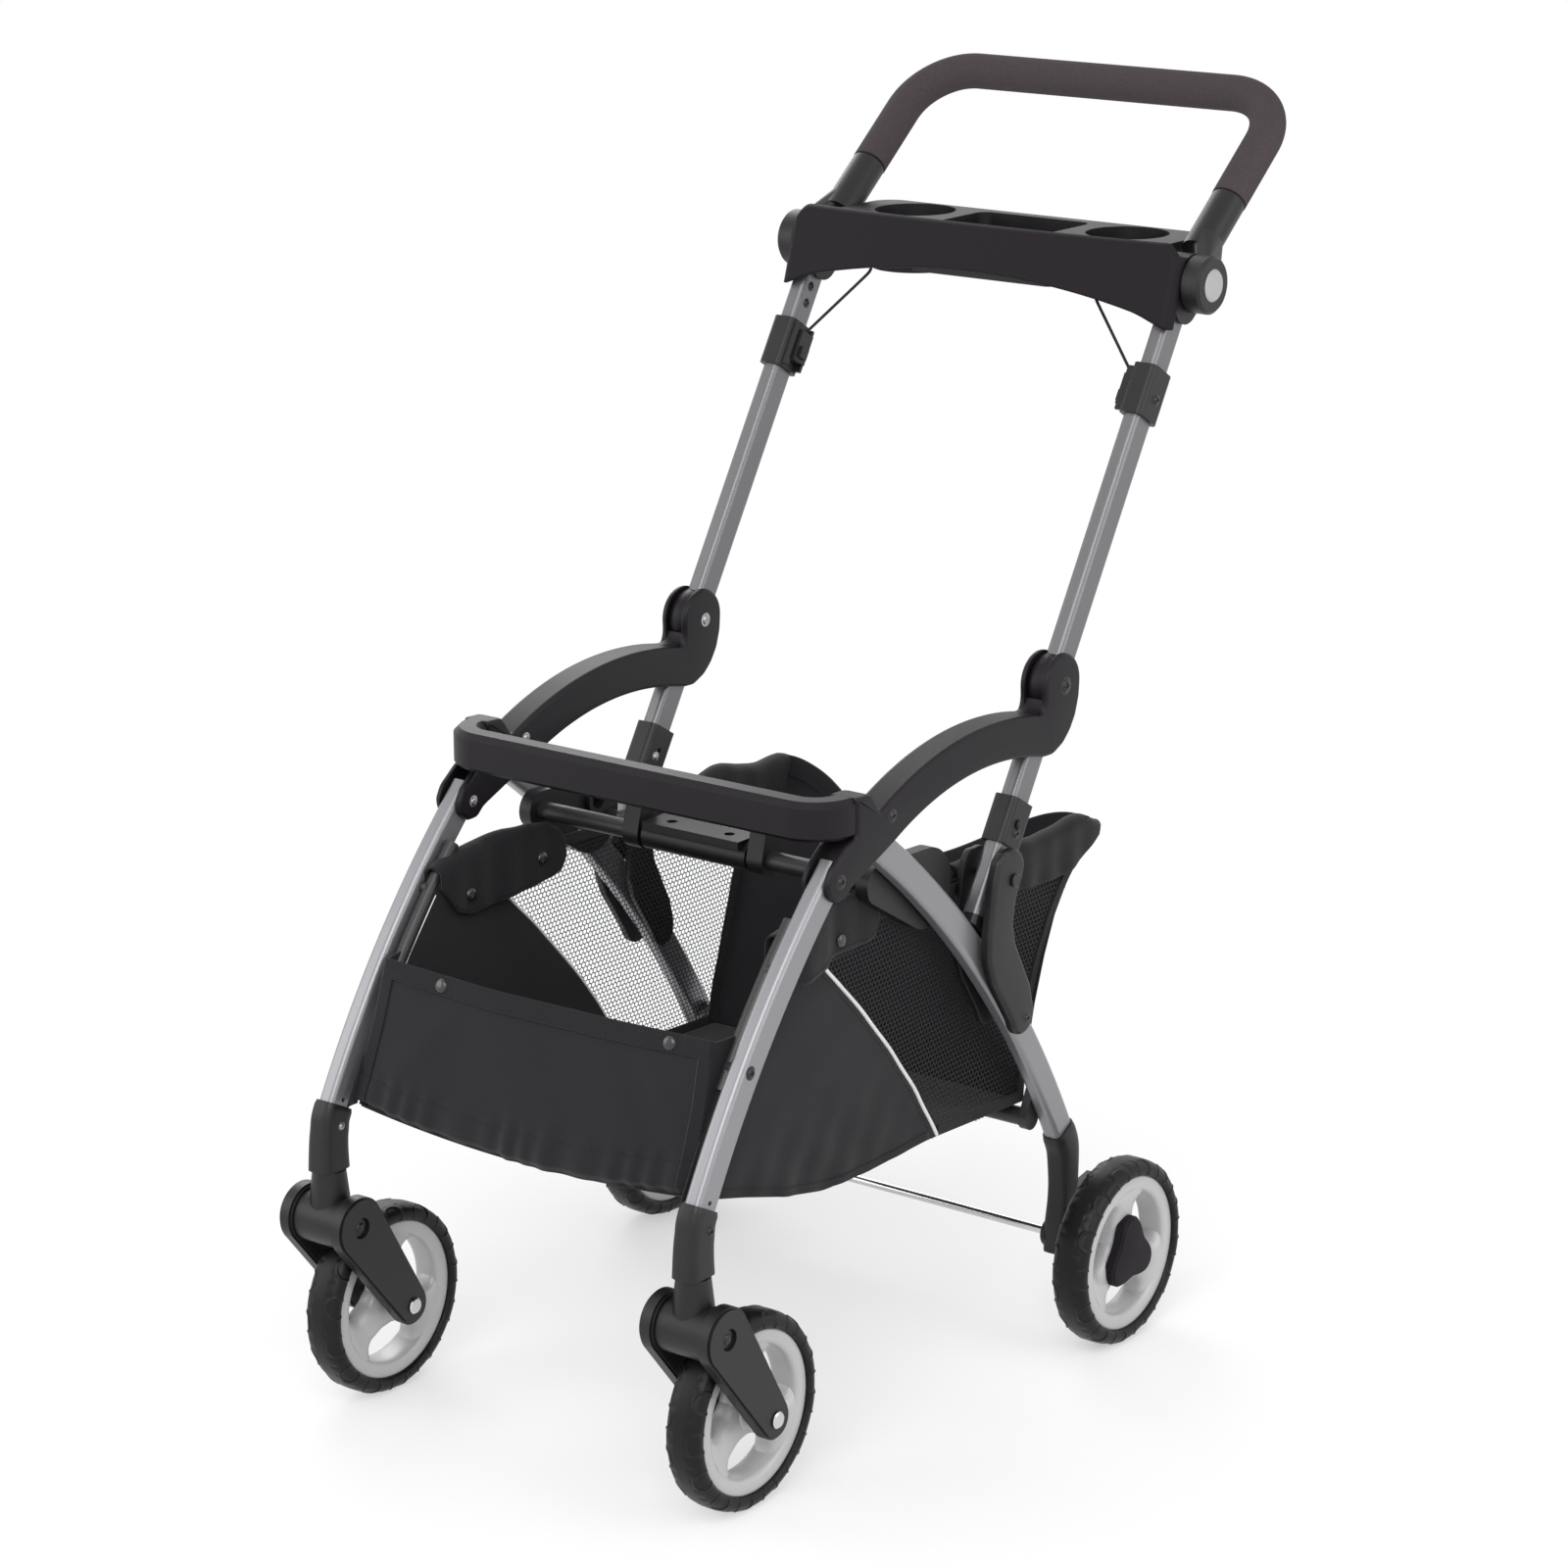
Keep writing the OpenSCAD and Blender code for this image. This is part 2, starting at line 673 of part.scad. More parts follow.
// car seat mount
module leg_brackets() {
    color(black) both() difference() {
        union() {
            slab(inner_face, x0 - 0.05) link(plate_c, 34, [mount_y, mount_z], 17);
            rod(ring, inner_face - 5, inner_face, 13);
        }
        rod([mount_y, mount_z], inner_face - 1, inner_face + 8, mount_d / 2 + run);
        rod(ring, inner_face - 6, inner_face + 5, 8);
        for (p = [[-117, 433], [-76, 432]])
            rod(p, inner_face - 1, inner_face + 3, 4.5);
    }
}
module mount_tube() { color(black) rod([mount_y, mount_z], -inner_face - 8, inner_face + 8, mount_d / 2); }
module mount_sleeve() {
    r = mount_d / 2;
    color(black) difference() {
        union() {
            rod([mount_y, mount_z], -54, 54, r + 4);
            translate([-50, mount_y - 15, mount_z + r]) cube([100, 30, 7]);
        }
        rod([mount_y, mount_z], -60, 60, r + run);
        for (i = [-1, 1])
            translate([i * 30, mount_y, mount_z + r + 4.5]) cylinder(h = 5, r = 4.5);
    }
}
module mount_hooks() {
    r = mount_d / 2;
    m = [mount_y, mount_z];
    t = m + [6, hook_h - 10];
    color(black) both() difference() {
        slab(hook_x - 8, hook_x + 8) {
            link(m, r + 5, t, 8);
            link(t, 8, t + [-16, 8], 5);
        }
        rod(m, hook_x - 20, hook_x + 20, r + run);
        slab(hook_x - 3, hook_x + 3) link(m + [4, 22], 5, t, 4);
    }
}

// basket rails behind the brackets, and the cloth tub
module in_rail() { translate([0, rail_a[0], rail_a[1]]) rotate([rail_tilt, 0, 0]) children(); }
module basket_rails() {
    r = rail_d / 2;
    color(black) in_rail() both() {
        translate([rail_x, 0, 0]) rotate([-90, 0, 0]) cylinder(h = rail_len, r = r);
        translate([rail_x, rail_len, 0]) sphere(r);
        translate([rail_x, 0, 0]) sphere(r);
        rod([0, 0], rail_x, inner_face, r);
    }
}
module tub_outline(t) {
    polygon([[-384 + t, 262], [-320 + t, 232 + t], [-252, 214 + t], [-171, 207 + t], [-73, 208 + t], [30, 205.3 + t],
        [74 - t, 205.3 + t], [110 - t, 282], [150 - t, 387], [162 - t, 418 + t], [162 - t, 420 + 2 * t],
        [60, 424 + 2 * t], [-139, 416 + 2 * t], [-198, 426 + 2 * t], [-214, 458 + 2 * t], [-248, 462 + 2 * t],
        [-300, 402 + t], [-345, 340]]);
}
module basket_tub() {
    b = basket_x - cloth_t;
    color(cloth) difference() {
        slab(-basket_x, basket_x) tub_outline(0);
        slab(-b, b) tub_outline(cloth_t);
        slab(-b, b) polygon([[-420, 262], [-345 + 3, 340], [-300, 402], [-248, 470], [-420, 470]]);
        slab(-b, b) polygon([[-248, 440], [140, 410], [140, 480], [-248, 480]]);
        translate([0, 118, 602]) rotate([-90, 0, 0]) cylinder(h = 60, r = 232, $fn = 160);
    }
}

// swivel yoke with the fork barrel
module yoke() {
    b = 21;
    color(black) translate([side_x, 0, 0]) difference() {
        union() {
            translate([0, caster_y, split_z - 1]) cylinder(h = 28, r = swivel_r);
            translate([0, caster_y, barrel_z]) cylinder(h = split_z - gap - barrel_z, r1 = 19, r2 = 14);
            rod(BC, -b, b, 22);
        }
        rod(BC, -b - 1, b + 1, 5 + run);
    }
}
module caster_yoke_left() { yoke(); }
module caster_yoke_right() { right() yoke(); }

// fork: two arms on the barrel pin
module fork() {
    color(black) translate([side_x, 0, 0]) difference() {
        union() {
            for (s = [-1, 1]) {
                a = s > 0 ? fork_x : -fork_x - fork_t;
                slab(a, a + fork_t) link(BC, 24, fax, 15);
                slab(a + 2, a + fork_t - 2) link(BC, 26, fax, 17);
            }
            rod(BC, -fork_x - 1, fork_x + 1, 5);
        }
        for (s = [-1, 1])
            rod(BC, s > 0 ? fork_x + fork_t - 3 : -fork_x - fork_t - 1, s > 0 ? fork_x + fork_t + 1 : -fork_x - fork_t + 3, 9);
        rod(fax, -60, 60, axle_d / 2 + run);
    }
}
module fork_left() { fork(); }
module fork_right() { right() fork(); }
module front_axle() {
    e = fork_x + fork_t;
    color(steel) translate([side_x, 0, 0]) {
        rod(fax, -e, e, axle_d / 2);
        puck(fax, e, e + 2.5, 7, 1);
        puck(fax, -e - 2.5, -e, 7, 1);
    }
}
module front_axle_left() { front_axle(); }
module front_axle_right() { right() front_axle(); }

// tyre about X with rounded shoulders and a grooved tread
module tyre(x, p) {
    s = 9;
    w = tyre_w / 2;
    color(black) translate([x, p[0], p[1]]) rotate([0, 90, 0]) rotate_extrude($fn = 96) difference() {
        union() {
            translate([rim_r, -w]) square([wheel_r - s - rim_r, 2 * w]);
            translate([rim_r, -w + s]) square([wheel_r - rim_r, 2 * w - 2 * s]);
            for (i = [-1, 1])
                translate([wheel_r - s, i * (w - s)]) circle(s);
        }
        for (i = [-1, 1])
            translate([wheel_r - 2, i * 4 - 1]) square([4, 2]);
        translate([0, -w - 1]) square([rim_r, 2 * w + 2]);
    }
}
// pale rim: flat outer ring, dished web with three openings, hub
module rim(x, p) {
    w = tyre_w / 2;
    color(pale) translate([x, p[0], p[1]]) rotate([0, 90, 0]) difference() {
        rotate_extrude($fn = 96) union() {
            translate([rim_r - 14, -w + 3]) square([14 - run, 2 * w - 6]);
            polygon([[10, -6], [rim_r - 13, 5], [rim_r - 13, 10], [10, 0]]);
            translate([axle_d / 2 + run, -w - 2]) square([10, 2 * w + 2]);
        }
        for (a = [30, 150, 270])
            rotate(a) translate([0, 0, -30]) linear_extrude(60) window();
    }
}
module window() {
    intersection() {
        difference() {
            circle(rim_r - 15);
            circle(21);
        }
        polygon([[12, 0], [48, 42], [70, 20], [70, -20], [48, -42]]);
    }
}
module front_tyre_left() { tyre(side_x, fax); }
module front_tyre_right() { right() tyre(side_x, fax); }
module front_rim_left() { rim(side_x, fax); }
module front_rim_right() { right() rim(side_x, fax); }
module rear_tyre_left() { tyre(rear_wheel_x, rax); }
module rear_tyre_right() { right() tyre(rear_wheel_x, rax); }
module rear_rim_left() { rim(rear_wheel_x, rax); }
module rear_rim_right() { right() rim(rear_wheel_x, rax); }
module rear_cap() {
    a = rear_wheel_x + tyre_w / 2 - 6;
    color(black) difference() {
        union() {
            rod(rax, rear_wheel_x + 1.7, a + 11, 16.5);
            for (t = [90, 210, 330])
                slab(a, a + 9) link(rax, 13, rax + 26 * [cos(t), sin(t)], 11);
        }
        rod(rax, 0, rear_wheel_x + tyre_w / 2 + gap, axle_d / 2 + 10 + 2 * gap);
    }
}
module rear_cap_left() { rear_cap(); }
module rear_cap_right() { right() rear_cap(); }

arm_left();
arm_right();
front_leg_left();
front_leg_right();
front_bar();
caster_sockets();
frame_screws();
pivot_bolts();
basket_stays();
basket_front_panel();
post_left();
post_right();
knuckle_housings();
post_sleeves();
post_collars();
post_plugs();
tray();
tray_apron();
brace_pins();
brace_left();
brace_right();
handle_tube();
handle_grip();
handle_hubs();
handle_button_left();
handle_button_right();
fold_release();
lock_sliders();
release_cords();
rear_leg_left();
rear_leg_right();
rear_feet();
rear_axle();
basket_cross_tube();
leg_brackets();
mount_tube();
mount_sleeve();
mount_hooks();
basket_rails();
basket_tub();
brake_lever_left();
brake_lever_right();
caster_yoke_left();
caster_yoke_right();
fork_left();
fork_right();
front_axle_left();
front_axle_right();
front_tyre_left();
front_tyre_right();
front_rim_left();
front_rim_right();
rear_tyre_left();
rear_tyre_right();
rear_rim_left();
rear_rim_right();
rear_cap_left();
rear_cap_right();
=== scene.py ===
import math

import bmesh
import bpy
import numpy as np
from bpy.props import FloatProperty, FloatVectorProperty, IntProperty, PointerProperty
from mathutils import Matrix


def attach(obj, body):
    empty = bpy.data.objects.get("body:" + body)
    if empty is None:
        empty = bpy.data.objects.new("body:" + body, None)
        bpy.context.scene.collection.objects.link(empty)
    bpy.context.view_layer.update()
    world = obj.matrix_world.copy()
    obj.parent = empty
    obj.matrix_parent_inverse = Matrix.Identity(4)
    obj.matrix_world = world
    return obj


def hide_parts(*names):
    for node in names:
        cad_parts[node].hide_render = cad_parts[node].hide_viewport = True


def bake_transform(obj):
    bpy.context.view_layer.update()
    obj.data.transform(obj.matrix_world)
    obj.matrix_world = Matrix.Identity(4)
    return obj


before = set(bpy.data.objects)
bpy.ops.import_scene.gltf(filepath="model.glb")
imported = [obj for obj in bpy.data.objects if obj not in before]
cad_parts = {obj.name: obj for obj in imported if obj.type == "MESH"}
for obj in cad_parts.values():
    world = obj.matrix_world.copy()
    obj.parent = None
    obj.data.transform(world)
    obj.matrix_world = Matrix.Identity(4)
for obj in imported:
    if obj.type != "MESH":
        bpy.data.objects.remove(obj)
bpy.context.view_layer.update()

bl_info = {
    "name": "Car Seat Stroller Frame",
    "version": (1, 0, 0),
    "blender": (4, 5, 0),
    "location": "View3D > Sidebar > Stroller Frame",
    "description": "Dresses the packed stroller frame: cloth basket, wheels, finishes and studio",
    "category": "Object",
}

MM = 0.001
TAU = 2 * math.pi
FRONT_C, FRONT_R = np.array([410.6, -165.6]), 930.0  # the front legs' arc
REAR_C, REAR_R = np.array([-758.6, -262.7]), 960.0  # the rear legs' arc
HANDS = (("left", 1), ("right", -1))
WHEEL_Z = 82.0  # height of the axles
SIDE_X = 190.0  # the plane of legs, posts and casters
WHEELS = [(end, hand, s * x, y, s) for end, x, y in (("front", SIDE_X, -359.0), ("rear", 250.0, 97.0))
          for hand, s in HANDS]
FORK_BOLT = (-420, 171)
BUMP_DEPTH = 0.0006  # metres
WAVE_BANDS = 0.31416  # a wave texture's scale for one band a metre


# ---- settings

def colour(name, description, default):
    """A colour setting."""
    return FloatVectorProperty(name=name, description=description, subtype="COLOR", size=3, default=default)


def length(name, description, default):
    """A length setting, in metres."""
    return FloatProperty(name=name, description=description, subtype="DISTANCE", unit="LENGTH", default=default)


class FrameColours(bpy.types.PropertyGroup):
    tube: colour("Tube paint", "Satin metallic paint on the posts", (0.150, 0.150, 0.158))
    leg: colour("Leg paint", "Lighter satin paint on the curved legs", (0.245, 0.243, 0.258))
    arm: colour("Arm moulding", "Warm charcoal moulding of the side arms and front bar", (0.0062, 0.0044, 0.0064))
    black: colour("Black moulding", "Black plastic parts", (0.0090, 0.0088, 0.0100))
    pale: colour("Pale moulding", "Wheel rims and buttons", (0.455, 0.450, 0.458))
    foam: colour("Grip foam", "Foam sleeve of the handle", (0.062, 0.050, 0.054))
    cloth: colour("Basket cloth", "Woven basket cloth", (0.0070, 0.0062, 0.0086))
    piping: colour("Piping", "Pale cord sewn along the basket sides", (0.68, 0.68, 0.67))


class BasketSizes(bpy.types.PropertyGroup):
    half_width: length("Half width", "Basket wall to the middle plane", 0.1685)
    net_pitch: length("Net pitch", "Distance between net holes", 0.0049)
    net_open: FloatProperty(name="Net opening", description="Hole width as a share of the pitch",
                            subtype="FACTOR", default=0.79, min=0.3, max=0.95)
    piping_radius: length("Piping radius", "Radius of the pale piping", 0.0017)
    sag: length("Sag", "How far slack cloth bows between its supports", 0.006)


class WheelSizes(bpy.types.PropertyGroup):
    radius: length("Tyre radius", "Outer radius of the tyres", 0.082)
    rim_radius: length("Rim radius", "Outer radius of the pale rim", 0.0685)
    rings: IntProperty(name="Sidewall rings", description="Half rings moulded round each sidewall", default=14, min=3)
    waves: IntProperty(name="Tread waves", description="Shallow waves along each edge of the tread", default=46, min=6)


# ---- mesh tools

def unit(v):
    """Vectors made one long each."""
    return v / np.linalg.norm(v, axis=-1, keepdims=True)


def distance(p):
    """Distance along a chain of points to each of them."""
    return np.concatenate([[0], np.cumsum(np.linalg.norm(np.diff(p, axis=0), axis=1))])


def tangents(p):
    """Direction of a chain at each of its points."""
    return unit(np.gradient(np.asarray(p, float), axis=0))


def left_of(d):
    """Side-view directions turned a quarter to the left."""
    return np.stack([-d[:, 1], d[:, 0]], 1)


def xyz(x, y, z):
    """Points from coordinates of any shapes that fit together."""
    return np.stack(np.broadcast_arrays(x, y, z), -1)


def grid_faces(nu, nv, wrap_u=False, wrap_v=False):
    """Quads of an nu by nv grid of points stored row by row, closed round either way when asked."""
    i, j = np.meshgrid(np.arange(nu if wrap_u else nu - 1), np.arange(nv if wrap_v else nv - 1), indexing="ij")
    i2, j2 = (i + 1) % nu, (j + 1) % nv
    return np.stack([i * nv + j, i2 * nv + j, i2 * nv + j2, i * nv + j2], -1).reshape(-1, 4)


def surface(points, wrap_u=False, wrap_v=False, caps=False):
    """One part from a grid of points: vertices, faces and a UV pair per vertex that measures metres along the grid."""
    points = np.asarray(points, float)
    nu, nv = points.shape[:2]
    faces = grid_faces(nu, nv, wrap_u, wrap_v).tolist()
    if caps:
        faces += [list(range(nv)), list(range((nu - 1) * nv, nu * nv))]
    du = np.linalg.norm(np.diff(points, axis=0), axis=2).mean(1)
    dv = np.linalg.norm(np.diff(points, axis=1), axis=2).mean(0)
    u = np.concatenate([[0], np.cumsum(du)]) * MM
    v = np.concatenate([[0], np.cumsum(dv)]) * MM
    uv = np.stack(np.meshgrid(v, u), -1)
    return points.reshape(-1, 3), faces, uv.reshape(-1, 2)


def tube(points):
    """A part from a grid that closes round its second axis, with its two ends filled."""
    return surface(points, wrap_v=True, caps=True)


def closed_ring(points):
    """A part from a grid that closes round both axes."""
    return surface(points, wrap_u=True, wrap_v=True)


def polar(points):
    """A part from a grid that closes round its first axis, with its first and last rings filled."""
    n, m = points.shape[:2]
    v, f, uv = surface(points, wrap_u=True)
    return v, f + [[k * m for k in range(n)], [k * m + m - 1 for k in range(n)]], uv


def shown(name, data):
    """A new object for some data, linked to the scene."""
    obj = bpy.data.objects.new(name, data)
    bpy.context.scene.collection.objects.link(obj)
    return obj


def piece(name, parts, look, closed=True, thick=0.0, smooth_angle=None):
    """Joins parts into one object at the origin, with its UV map and the finish named by look."""
    verts, faces, uvs = zip(*parts)
    start = np.cumsum([0] + [len(v) for v in verts]).tolist()
    faces = [[k + first for k in face] for first, part in zip(start, faces) for face in part]
    mesh = bpy.data.meshes.new(name)
    mesh.from_pydata((np.concatenate(verts) * MM).tolist(), [], faces)
    order = np.empty(len(mesh.loops), np.int32)
    mesh.loops.foreach_get("vertex_index", order)
    layer = mesh.uv_layers.new(name="UVMap")
    layer.data.foreach_set("uv", np.concatenate(uvs)[order].ravel().astype(np.float32))
    if closed:
        bm = bmesh.new()
        bm.from_mesh(mesh)
        bmesh.ops.remove_doubles(bm, verts=bm.verts, dist=1e-6)
        bmesh.ops.recalc_face_normals(bm, faces=bm.faces)
        bm.to_mesh(mesh)
        bm.free()
    mesh.polygons.foreach_set("use_smooth", np.ones(len(mesh.polygons), bool))
    if smooth_angle:
        mesh.set_sharp_from_angle(angle=math.radians(smooth_angle))
    mesh.update()
    mesh.materials.append(bpy.data.materials[look])
    obj = shown(name, mesh)
    if thick:
        wall = obj.modifiers.new("wall", "SOLIDIFY")
        wall.thickness, wall.offset = thick * MM, 0.0
    return obj


def skin(name, grids, look, thick):
    """An open piece of cloth or thin moulding from grids of points, thickened evenly about them."""
    return piece(name, [surface(g) for g in grids], look, closed=False, thick=thick)


def dress(obj, body, node=None):
    """Puts a piece on its body, and hides the CAD node it stands in for where one is named."""
    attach(obj, body)
    if node:
        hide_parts(node)


def at_distance(p, t):
    """Points at the distances t along a chain of points."""
    s = distance(p)
    return np.stack([np.interp(t, s, p[:, k]) for k in range(p.shape[1])], -1)


def spread(points, n, smooth):
    """n points evenly along a chain of points, with its corners softened by a running mean."""
    p = np.asarray(points, float)
    q = at_distance(p, np.linspace(0, distance(p)[-1], n))
    for _ in range(smooth):
        q[1:-1] = (q[:-2] + 2 * q[1:-1] + q[2:]) / 4
    return q


def carried(path, profile, up):
    """A profile of (side, rise) pairs carried along a path: side lies across the path and up, rise across both."""
    path, t = np.asarray(path, float), tangents(path)
    side = unit(np.cross(t, np.asarray(up, float)))
    rise = np.cross(side, t)
    return path[:, None] + profile[:, :1] * side[:, None] + profile[:, 1:] * rise[:, None]


def ring(r, n):
    """n points of a circle of radius r."""
    a = np.arange(n) * TAU / n
    return np.stack([r * np.cos(a), r * np.sin(a)], 1)


def turned(profile, x, y, z, n, side):
    """A profile of (radius, reach) pairs, or one per angle, turned about the line along x through (y, z)."""
    a = np.arange(n)[:, None] * TAU / n
    r, h = np.moveaxis(np.asarray(profile, float), -1, 0)
    return xyz(x + side * h, y + r * np.cos(a), z + r * np.sin(a))


def dome(p, axis, r, h, n, rows, cross=0.0):
    """A round head at p: height h * sqrt(1 - q^2.5) over the radius share q, with a cross-shaped recess when asked."""
    axis = unit(np.asarray(axis, float))
    a = unit(np.cross(axis, [0, 0, 1] if abs(axis[2]) < 0.9 else [1, 0, 0]))
    b = np.cross(axis, a)
    q = np.concatenate([np.linspace(0.02, 1, rows), [1.0]])
    t = np.arange(n)[:, None] * TAU / n
    height = h * np.sqrt(np.clip(1 - q ** 2.5, 0, 1))
    height[-1] = -0.3
    c, s = np.cos(t) * q, np.sin(t) * q
    rise = np.broadcast_to(height, c.shape)
    if cross:
        rise = np.where((np.minimum(np.abs(c), np.abs(s)) < 0.14) & (q < 0.62), rise - cross, rise)
    return polar(np.asarray(p, float) + r * (c[..., None] * a + s[..., None] * b) + rise[..., None] * axis)


def step(x, lo, hi):
    """Smooth step from 0 at lo to 1 at hi."""
    t = np.clip((x - lo) / (hi - lo), 0, 1)
    return t * t * (3 - 2 * t)


def front_leg_y(z):
    """Height to depth along the front legs' arc."""
    return FRONT_C[0] - np.sqrt(FRONT_R ** 2 - (np.asarray(z, float) - FRONT_C[1]) ** 2)


def loop(points, n, smooth):
    """n points evenly round a closed chain of points, with its corners softened by a running mean."""
    p = np.asarray(points, float)
    p = np.concatenate([p, p[:1]])
    q = at_distance(p, np.arange(n) * distance(p)[-1] / n)
    for _ in range(smooth):
        q = (np.roll(q, 1, 0) + 2 * q + np.roll(q, -1, 0)) / 4
    return q


def arc(centre, r, a, b, n):
    """n points of a circle from angle a to angle b in degrees."""
    t = np.radians(np.linspace(a, b, n))
    return np.asarray(centre, float) + r * np.stack([np.cos(t), np.sin(t)], 1)


def plate(outline, a, b, ra, rb, side, rows):
    """A plate from x = a to x = b on one side: its outline draws in at either face along a quarter circle."""
    p = np.asarray(outline, float)
    d = unit(np.roll(p, -1, 0) - np.roll(p, 1, 0))
    turn = np.sign(np.sum(p[:, 0] * np.roll(p[:, 1], -1) - p[:, 1] * np.roll(p[:, 0], -1)))
    q = np.linspace(0, math.pi / 2, rows)
    inset = np.concatenate([ra * (1 - np.sin(q)), rb * (1 - np.cos(q))])
    x = np.concatenate([a + ra * (1 - np.cos(q)), b - rb * (1 - np.sin(q))])
    y, z = np.moveaxis(p + turn * left_of(d) * inset[:, None, None], -1, 0)
    return tube(xyz(side * x[:, None], y, z))


def rounded(n, power):
    """The two coordinates of n points of |u|^power + |v|^power = 1."""
    a = (np.arange(n) + 0.5) * TAU / n
    return [np.sign(w) * np.abs(w) ** (2 / power) for w in (np.cos(a), np.sin(a))]


def sleeve(path, x, across, deep, power):
    """A rounded box section carried along a side-view path at x: |u|^power + |v|^power = 1, sized per point."""
    u, v = rounded(56, power)
    y, z = np.moveaxis(path[:, None] + left_of(tangents(path))[:, None] * (deep[:, None] * v)[..., None], -1, 0)
    return tube(xyz(x + across[:, None] * u, y, z))


def stitches(line, out, long=2.6, gap=1.9, r=0.32):
    """Short flat bars laid end to end along a line of points, standing off by out: one row of sewing."""
    start = np.arange(1.0, distance(line)[-1] - long, long + gap)
    p = at_distance(line, np.stack([start, start + long], 1))
    d = unit(p[:, 1] - p[:, 0])
    out = np.broadcast_to(np.asarray(out, float), d.shape)
    across = unit(np.cross(d, out))
    corner = np.array([[-1, 0.0], [0, 1.0], [1, 0.0], [0, -1.0]])
    box = p[:, :, None] + r * (corner[:, :1] * across[:, None, None] + corner[:, 1:] * out[:, None, None])
    n = len(p)
    bar = np.array([[0, 1, 5, 4], [1, 2, 6, 5], [2, 3, 7, 6], [3, 0, 4, 7], [3, 2, 1, 0], [4, 5, 6, 7]])
    faces = (np.arange(n)[:, None, None] * 8 + bar).reshape(-1, 4).tolist()
    return box.reshape(-1, 3), faces, np.zeros((n * 8, 2))


def inside(poly, y, z):
    """Which points lie in a closed outline, by counting crossings of a ray along y."""
    a, b = np.asarray(poly, float), np.roll(np.asarray(poly, float), -1, axis=0)
    over = (a[:, 1] > z[:, None]) != (b[:, 1] > z[:, None])
    dz = np.where(b[:, 1] == a[:, 1], 1e-9, b[:, 1] - a[:, 1])
    cut = a[:, 0] + (z[:, None] - a[:, 1]) * (b[:, 0] - a[:, 0]) / dz
    return ((over & (y[:, None] < cut)).sum(1) % 2) == 1


# ---- finishes

def fill(node, **values):
    """Sets a shader node's constants; an input's name is written with _ for each space."""
    for key, value in values.items():
        node.inputs[key.replace("_", " ")].default_value = value
    return node


def combine(tree, operation, a, b):
    """The output of a math node fed by two sockets."""
    node = tree.nodes.new("ShaderNodeMath")
    node.operation = operation
    tree.links.new(a, node.inputs[0])
    tree.links.new(b, node.inputs[1])
    return node.outputs["Value"]


def finish(name, base, rough, times=1.0, metal=0.0, grain=900.0, bump=0.06, blotch=12.0, vary=0.12,
           coat=0.0, sheen=0.0, weave=0.0, spec=0.5):
    """A node finish: the colour varies by a slow noise, the roughness by the same noise, the relief by a fine one.

    weave, where given, is the thread pitch in metres of a plain weave read from the piece's UV map.
    """
    mat = bpy.data.materials.new(name)
    mat.use_nodes = True
    tree = mat.node_tree
    new, link = tree.nodes.new, tree.links.new
    bsdf = fill(tree.nodes["Principled BSDF"], Metallic=metal, Specular_IOR_Level=spec, Coat_Weight=coat,
                Coat_Roughness=0.25, Sheen_Weight=sheen, Sheen_Roughness=0.5)
    place = new("ShaderNodeTexCoord").outputs
    slow = fill(new("ShaderNodeTexNoise"), Scale=blotch, Detail=6.0)
    link(place["Object"], slow.inputs["Vector"])
    ramp = new("ShaderNodeValToRGB")
    c = np.array(base[:3]) * times
    tones = c * (1 - vary), np.minimum(c * (1 + vary), 1)
    for end, spot, tone in zip(ramp.color_ramp.elements, (0.3, 0.7), tones):
        end.position, end.color = spot, (*tone, 1)
    link(slow.outputs["Fac"], ramp.inputs["Fac"])
    roughs = fill(new("ShaderNodeMapRange"), To_Min=max(rough - 0.07, 0.05), To_Max=min(rough + 0.07, 1.0))
    link(slow.outputs["Fac"], roughs.inputs["Value"])
    link(roughs.outputs["Result"], bsdf.inputs["Roughness"])
    tone = ramp.outputs["Color"]
    if weave:
        threads = []
        for axis in ("X", "Y"):
            wave = fill(new("ShaderNodeTexWave"), Scale=WAVE_BANDS / weave, Distortion=0.6)
            wave.bands_direction = axis
            link(place["UV"], wave.inputs["Vector"])
            threads.append(wave.outputs["Fac"])
        height = combine(tree, "MULTIPLY", *threads)
        shade = new("ShaderNodeMix")
        shade.data_type, shade.blend_type = "RGBA", "MULTIPLY"
        fill(shade, Factor=0.12)
        link(tone, shade.inputs["A"])
        link(height, shade.inputs["B"])
        tone = shade.outputs["Result"]
    else:
        fine = fill(new("ShaderNodeTexNoise"), Scale=grain, Detail=3.0)
        link(place["Object"], fine.inputs["Vector"])
        height = fine.outputs["Fac"]
    relief = fill(new("ShaderNodeBump"), Strength=bump, Distance=BUMP_DEPTH)
    link(tone, bsdf.inputs["Base Color"])
    link(height, relief.inputs["Height"])
    link(relief.outputs["Normal"], bsdf.inputs["Normal"])


SOLIDS = {
    "arm_grey": "arm_left arm_right front_bar",
    "leg_paint": "front_leg_left front_leg_right rear_leg_left rear_leg_right",
    "tube_paint": "post_left post_right",
    "black_tube": "handle_tube mount_tube basket_rails basket_stays basket_cross_tube",
    "grip_foam": "handle_grip",
    "button_grey": "handle_button_left handle_button_right",
    "bright_steel": "rear_axle front_axle_left front_axle_right",
    "dark_screw": "frame_screws pivot_bolts brace_pins",
    "matt_black": "tray_apron",
    "cord_black": "release_cords",
}
NODE_FINISH = {node: name for name, nodes in SOLIDS.items() for node in nodes.split()}


